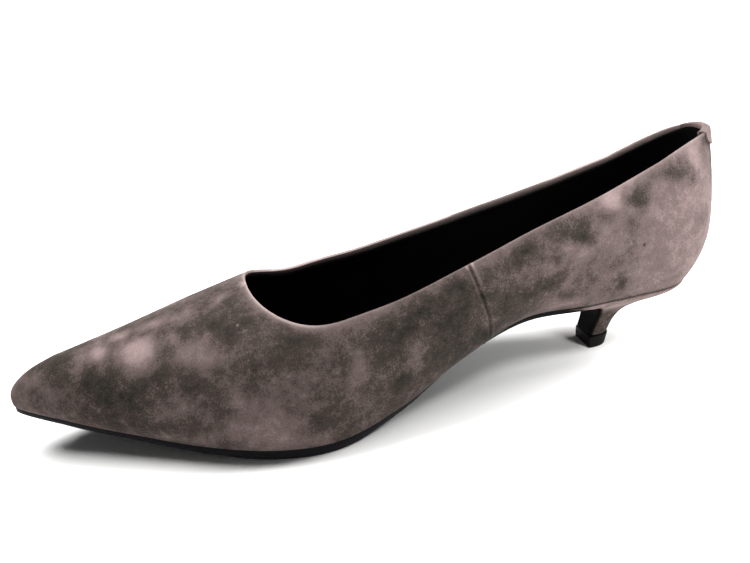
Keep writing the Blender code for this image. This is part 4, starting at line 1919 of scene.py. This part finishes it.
@dataclass
class Studio:
    """Pale floor, soft light and the camera at the photograph's angle."""

    floor_size: float = 8.0
    floor_cells: int = 8
    sky: float = 0.05
    # Heights between which the white of the horizon fades into the sky
    horizon: Span = (0.1, 0.2)
    lamps: tuple[tuple[str, Point], ...] = (
        ("heel_side_lamp", (-1.1, -0.18, 1.0)),
        ("toe_side_lamp", (0.5, -0.36, 1.0)),
    )
    lamp: float = 4.6
    lamp_angle: float = 32.0
    fills: tuple[Fill, ...] = (
        Fill("arch_fill", (-0.35, 0.45, 0.3), (-0.112, 0.01, 0.02), 9.5, 21.0),
        Fill("heel_fill", (-0.15, 0.28, 0.5), (-0.108, 0.0, 0.02), 9.5, 22.0),
    )
    fill_blend: float = 0.7
    fill_size: float = 0.08
    eye: Point = (70.08, 278.26, 163.89)
    yaw: float = 13.571
    pitch: float = 23.302
    roll: float = -3.595
    # Focal length and width of the photograph, in pixels, and width of the sensor
    focal_pixels: float = 900.0
    frame_pixels: float = 750.0
    sensor: float = 36.0
    clip: Span = (0.01, 50.0)

    def build(self) -> None:
        """Set up floor, light and camera."""
        deselect()
        cells = self.floor_cells
        bpy.ops.mesh.primitive_grid_add(x_subdivisions=cells, y_subdivisions=cells, size=self.floor_size)
        floor = bpy.context.object
        floor.name = "floor"
        floor.data.materials.append(FLOOR.material())
        world = bpy.data.worlds.new("white_room")
        bpy.context.scene.world = world
        world.use_nodes = True
        tree = world.node_tree
        tree.nodes["Background"].inputs["Color"].default_value = (1.0, 1.0, 1.0, 1.0)
        # White just over the edge of the floor, dim overhead
        place = add_node(tree, "ShaderNodeTexCoord", {}).outputs["Generated"]
        height = add_node(tree, "ShaderNodeSeparateXYZ", {0: place}).outputs["Z"]
        low, high = self.horizon
        glow = add_node(
            tree,
            "ShaderNodeMapRange",
            {"Value": height, "From Min": low, "From Max": high, "To Min": 1.0, "To Max": self.sky},
        )
        tree.links.new(glow.outputs[0], tree.nodes["Background"].inputs["Strength"])
        for name, at in self.lamps:
            lamp = self.add_light("SUN", name, at, (0.0, 0.0, 0.0), self.lamp)
            lamp.angle = math.radians(self.lamp_angle)
        for fill in self.fills:
            spot = self.add_light("SPOT", fill.name, fill.at, fill.aim, fill.power)
            spot.spot_size = math.radians(fill.cone)
            spot.spot_blend = self.fill_blend
            spot.shadow_soft_size = self.fill_size
        self.add_camera()
        bpy.context.scene.view_settings.view_transform = "Standard"

    def add_light(self, kind: str, name: str, at: Point, aim: Point, power: float) -> bpy.types.Light:
        """Add a light.

        Args:
            kind: Blender's name of the light.
            name: Name of the light.
            at: Its place, in metres.
            aim: Where it points.
            power: Its strength.

        Returns:
            The settings of the light.
        """
        deselect()
        bpy.ops.object.light_add(type=kind, location=at)
        light = bpy.context.object
        light.name = name
        light.data.energy = power
        light.rotation_euler = (Vector(aim) - Vector(at)).to_track_quat("-Z", "Y").to_euler()
        return light.data

    def add_camera(self) -> None:
        """Add the camera, rolled as the photograph is."""
        deselect()
        bpy.ops.object.camera_add()
        camera = bpy.context.object
        yaw, pitch, roll = (math.radians(v) for v in (self.yaw, self.pitch, self.roll))
        back = Vector((math.sin(yaw) * math.cos(pitch), math.cos(yaw) * math.cos(pitch), math.sin(pitch)))
        right = (-back).cross(Vector((0, 0, 1))).normalized()
        up = right.cross(-back)
        tilted = right * math.cos(roll) + up * math.sin(roll)
        upward = up * math.cos(roll) - right * math.sin(roll)
        turn = Matrix((tilted, upward, back)).transposed().to_4x4()
        camera.matrix_world = Matrix.Translation(Vector(self.eye) * MM) @ turn
        camera.data.sensor_fit = "HORIZONTAL"
        camera.data.sensor_width = self.sensor
        camera.data.lens = self.focal_pixels / self.frame_pixels * self.sensor
        camera.data.clip_start, camera.data.clip_end = self.clip
        bpy.context.scene.camera = camera


def main() -> None:
    """Build the shoe piece by piece, then the studio."""
    logging.basicConfig(level=logging.INFO, format="%(name)s: %(message)s")
    Upper().build()
    Lining().build()
    Sock().build()
    Sole().build()
    Heel().build()
    BackTab().build()
    Studio().build()


if __name__ == "__main__":
    main()
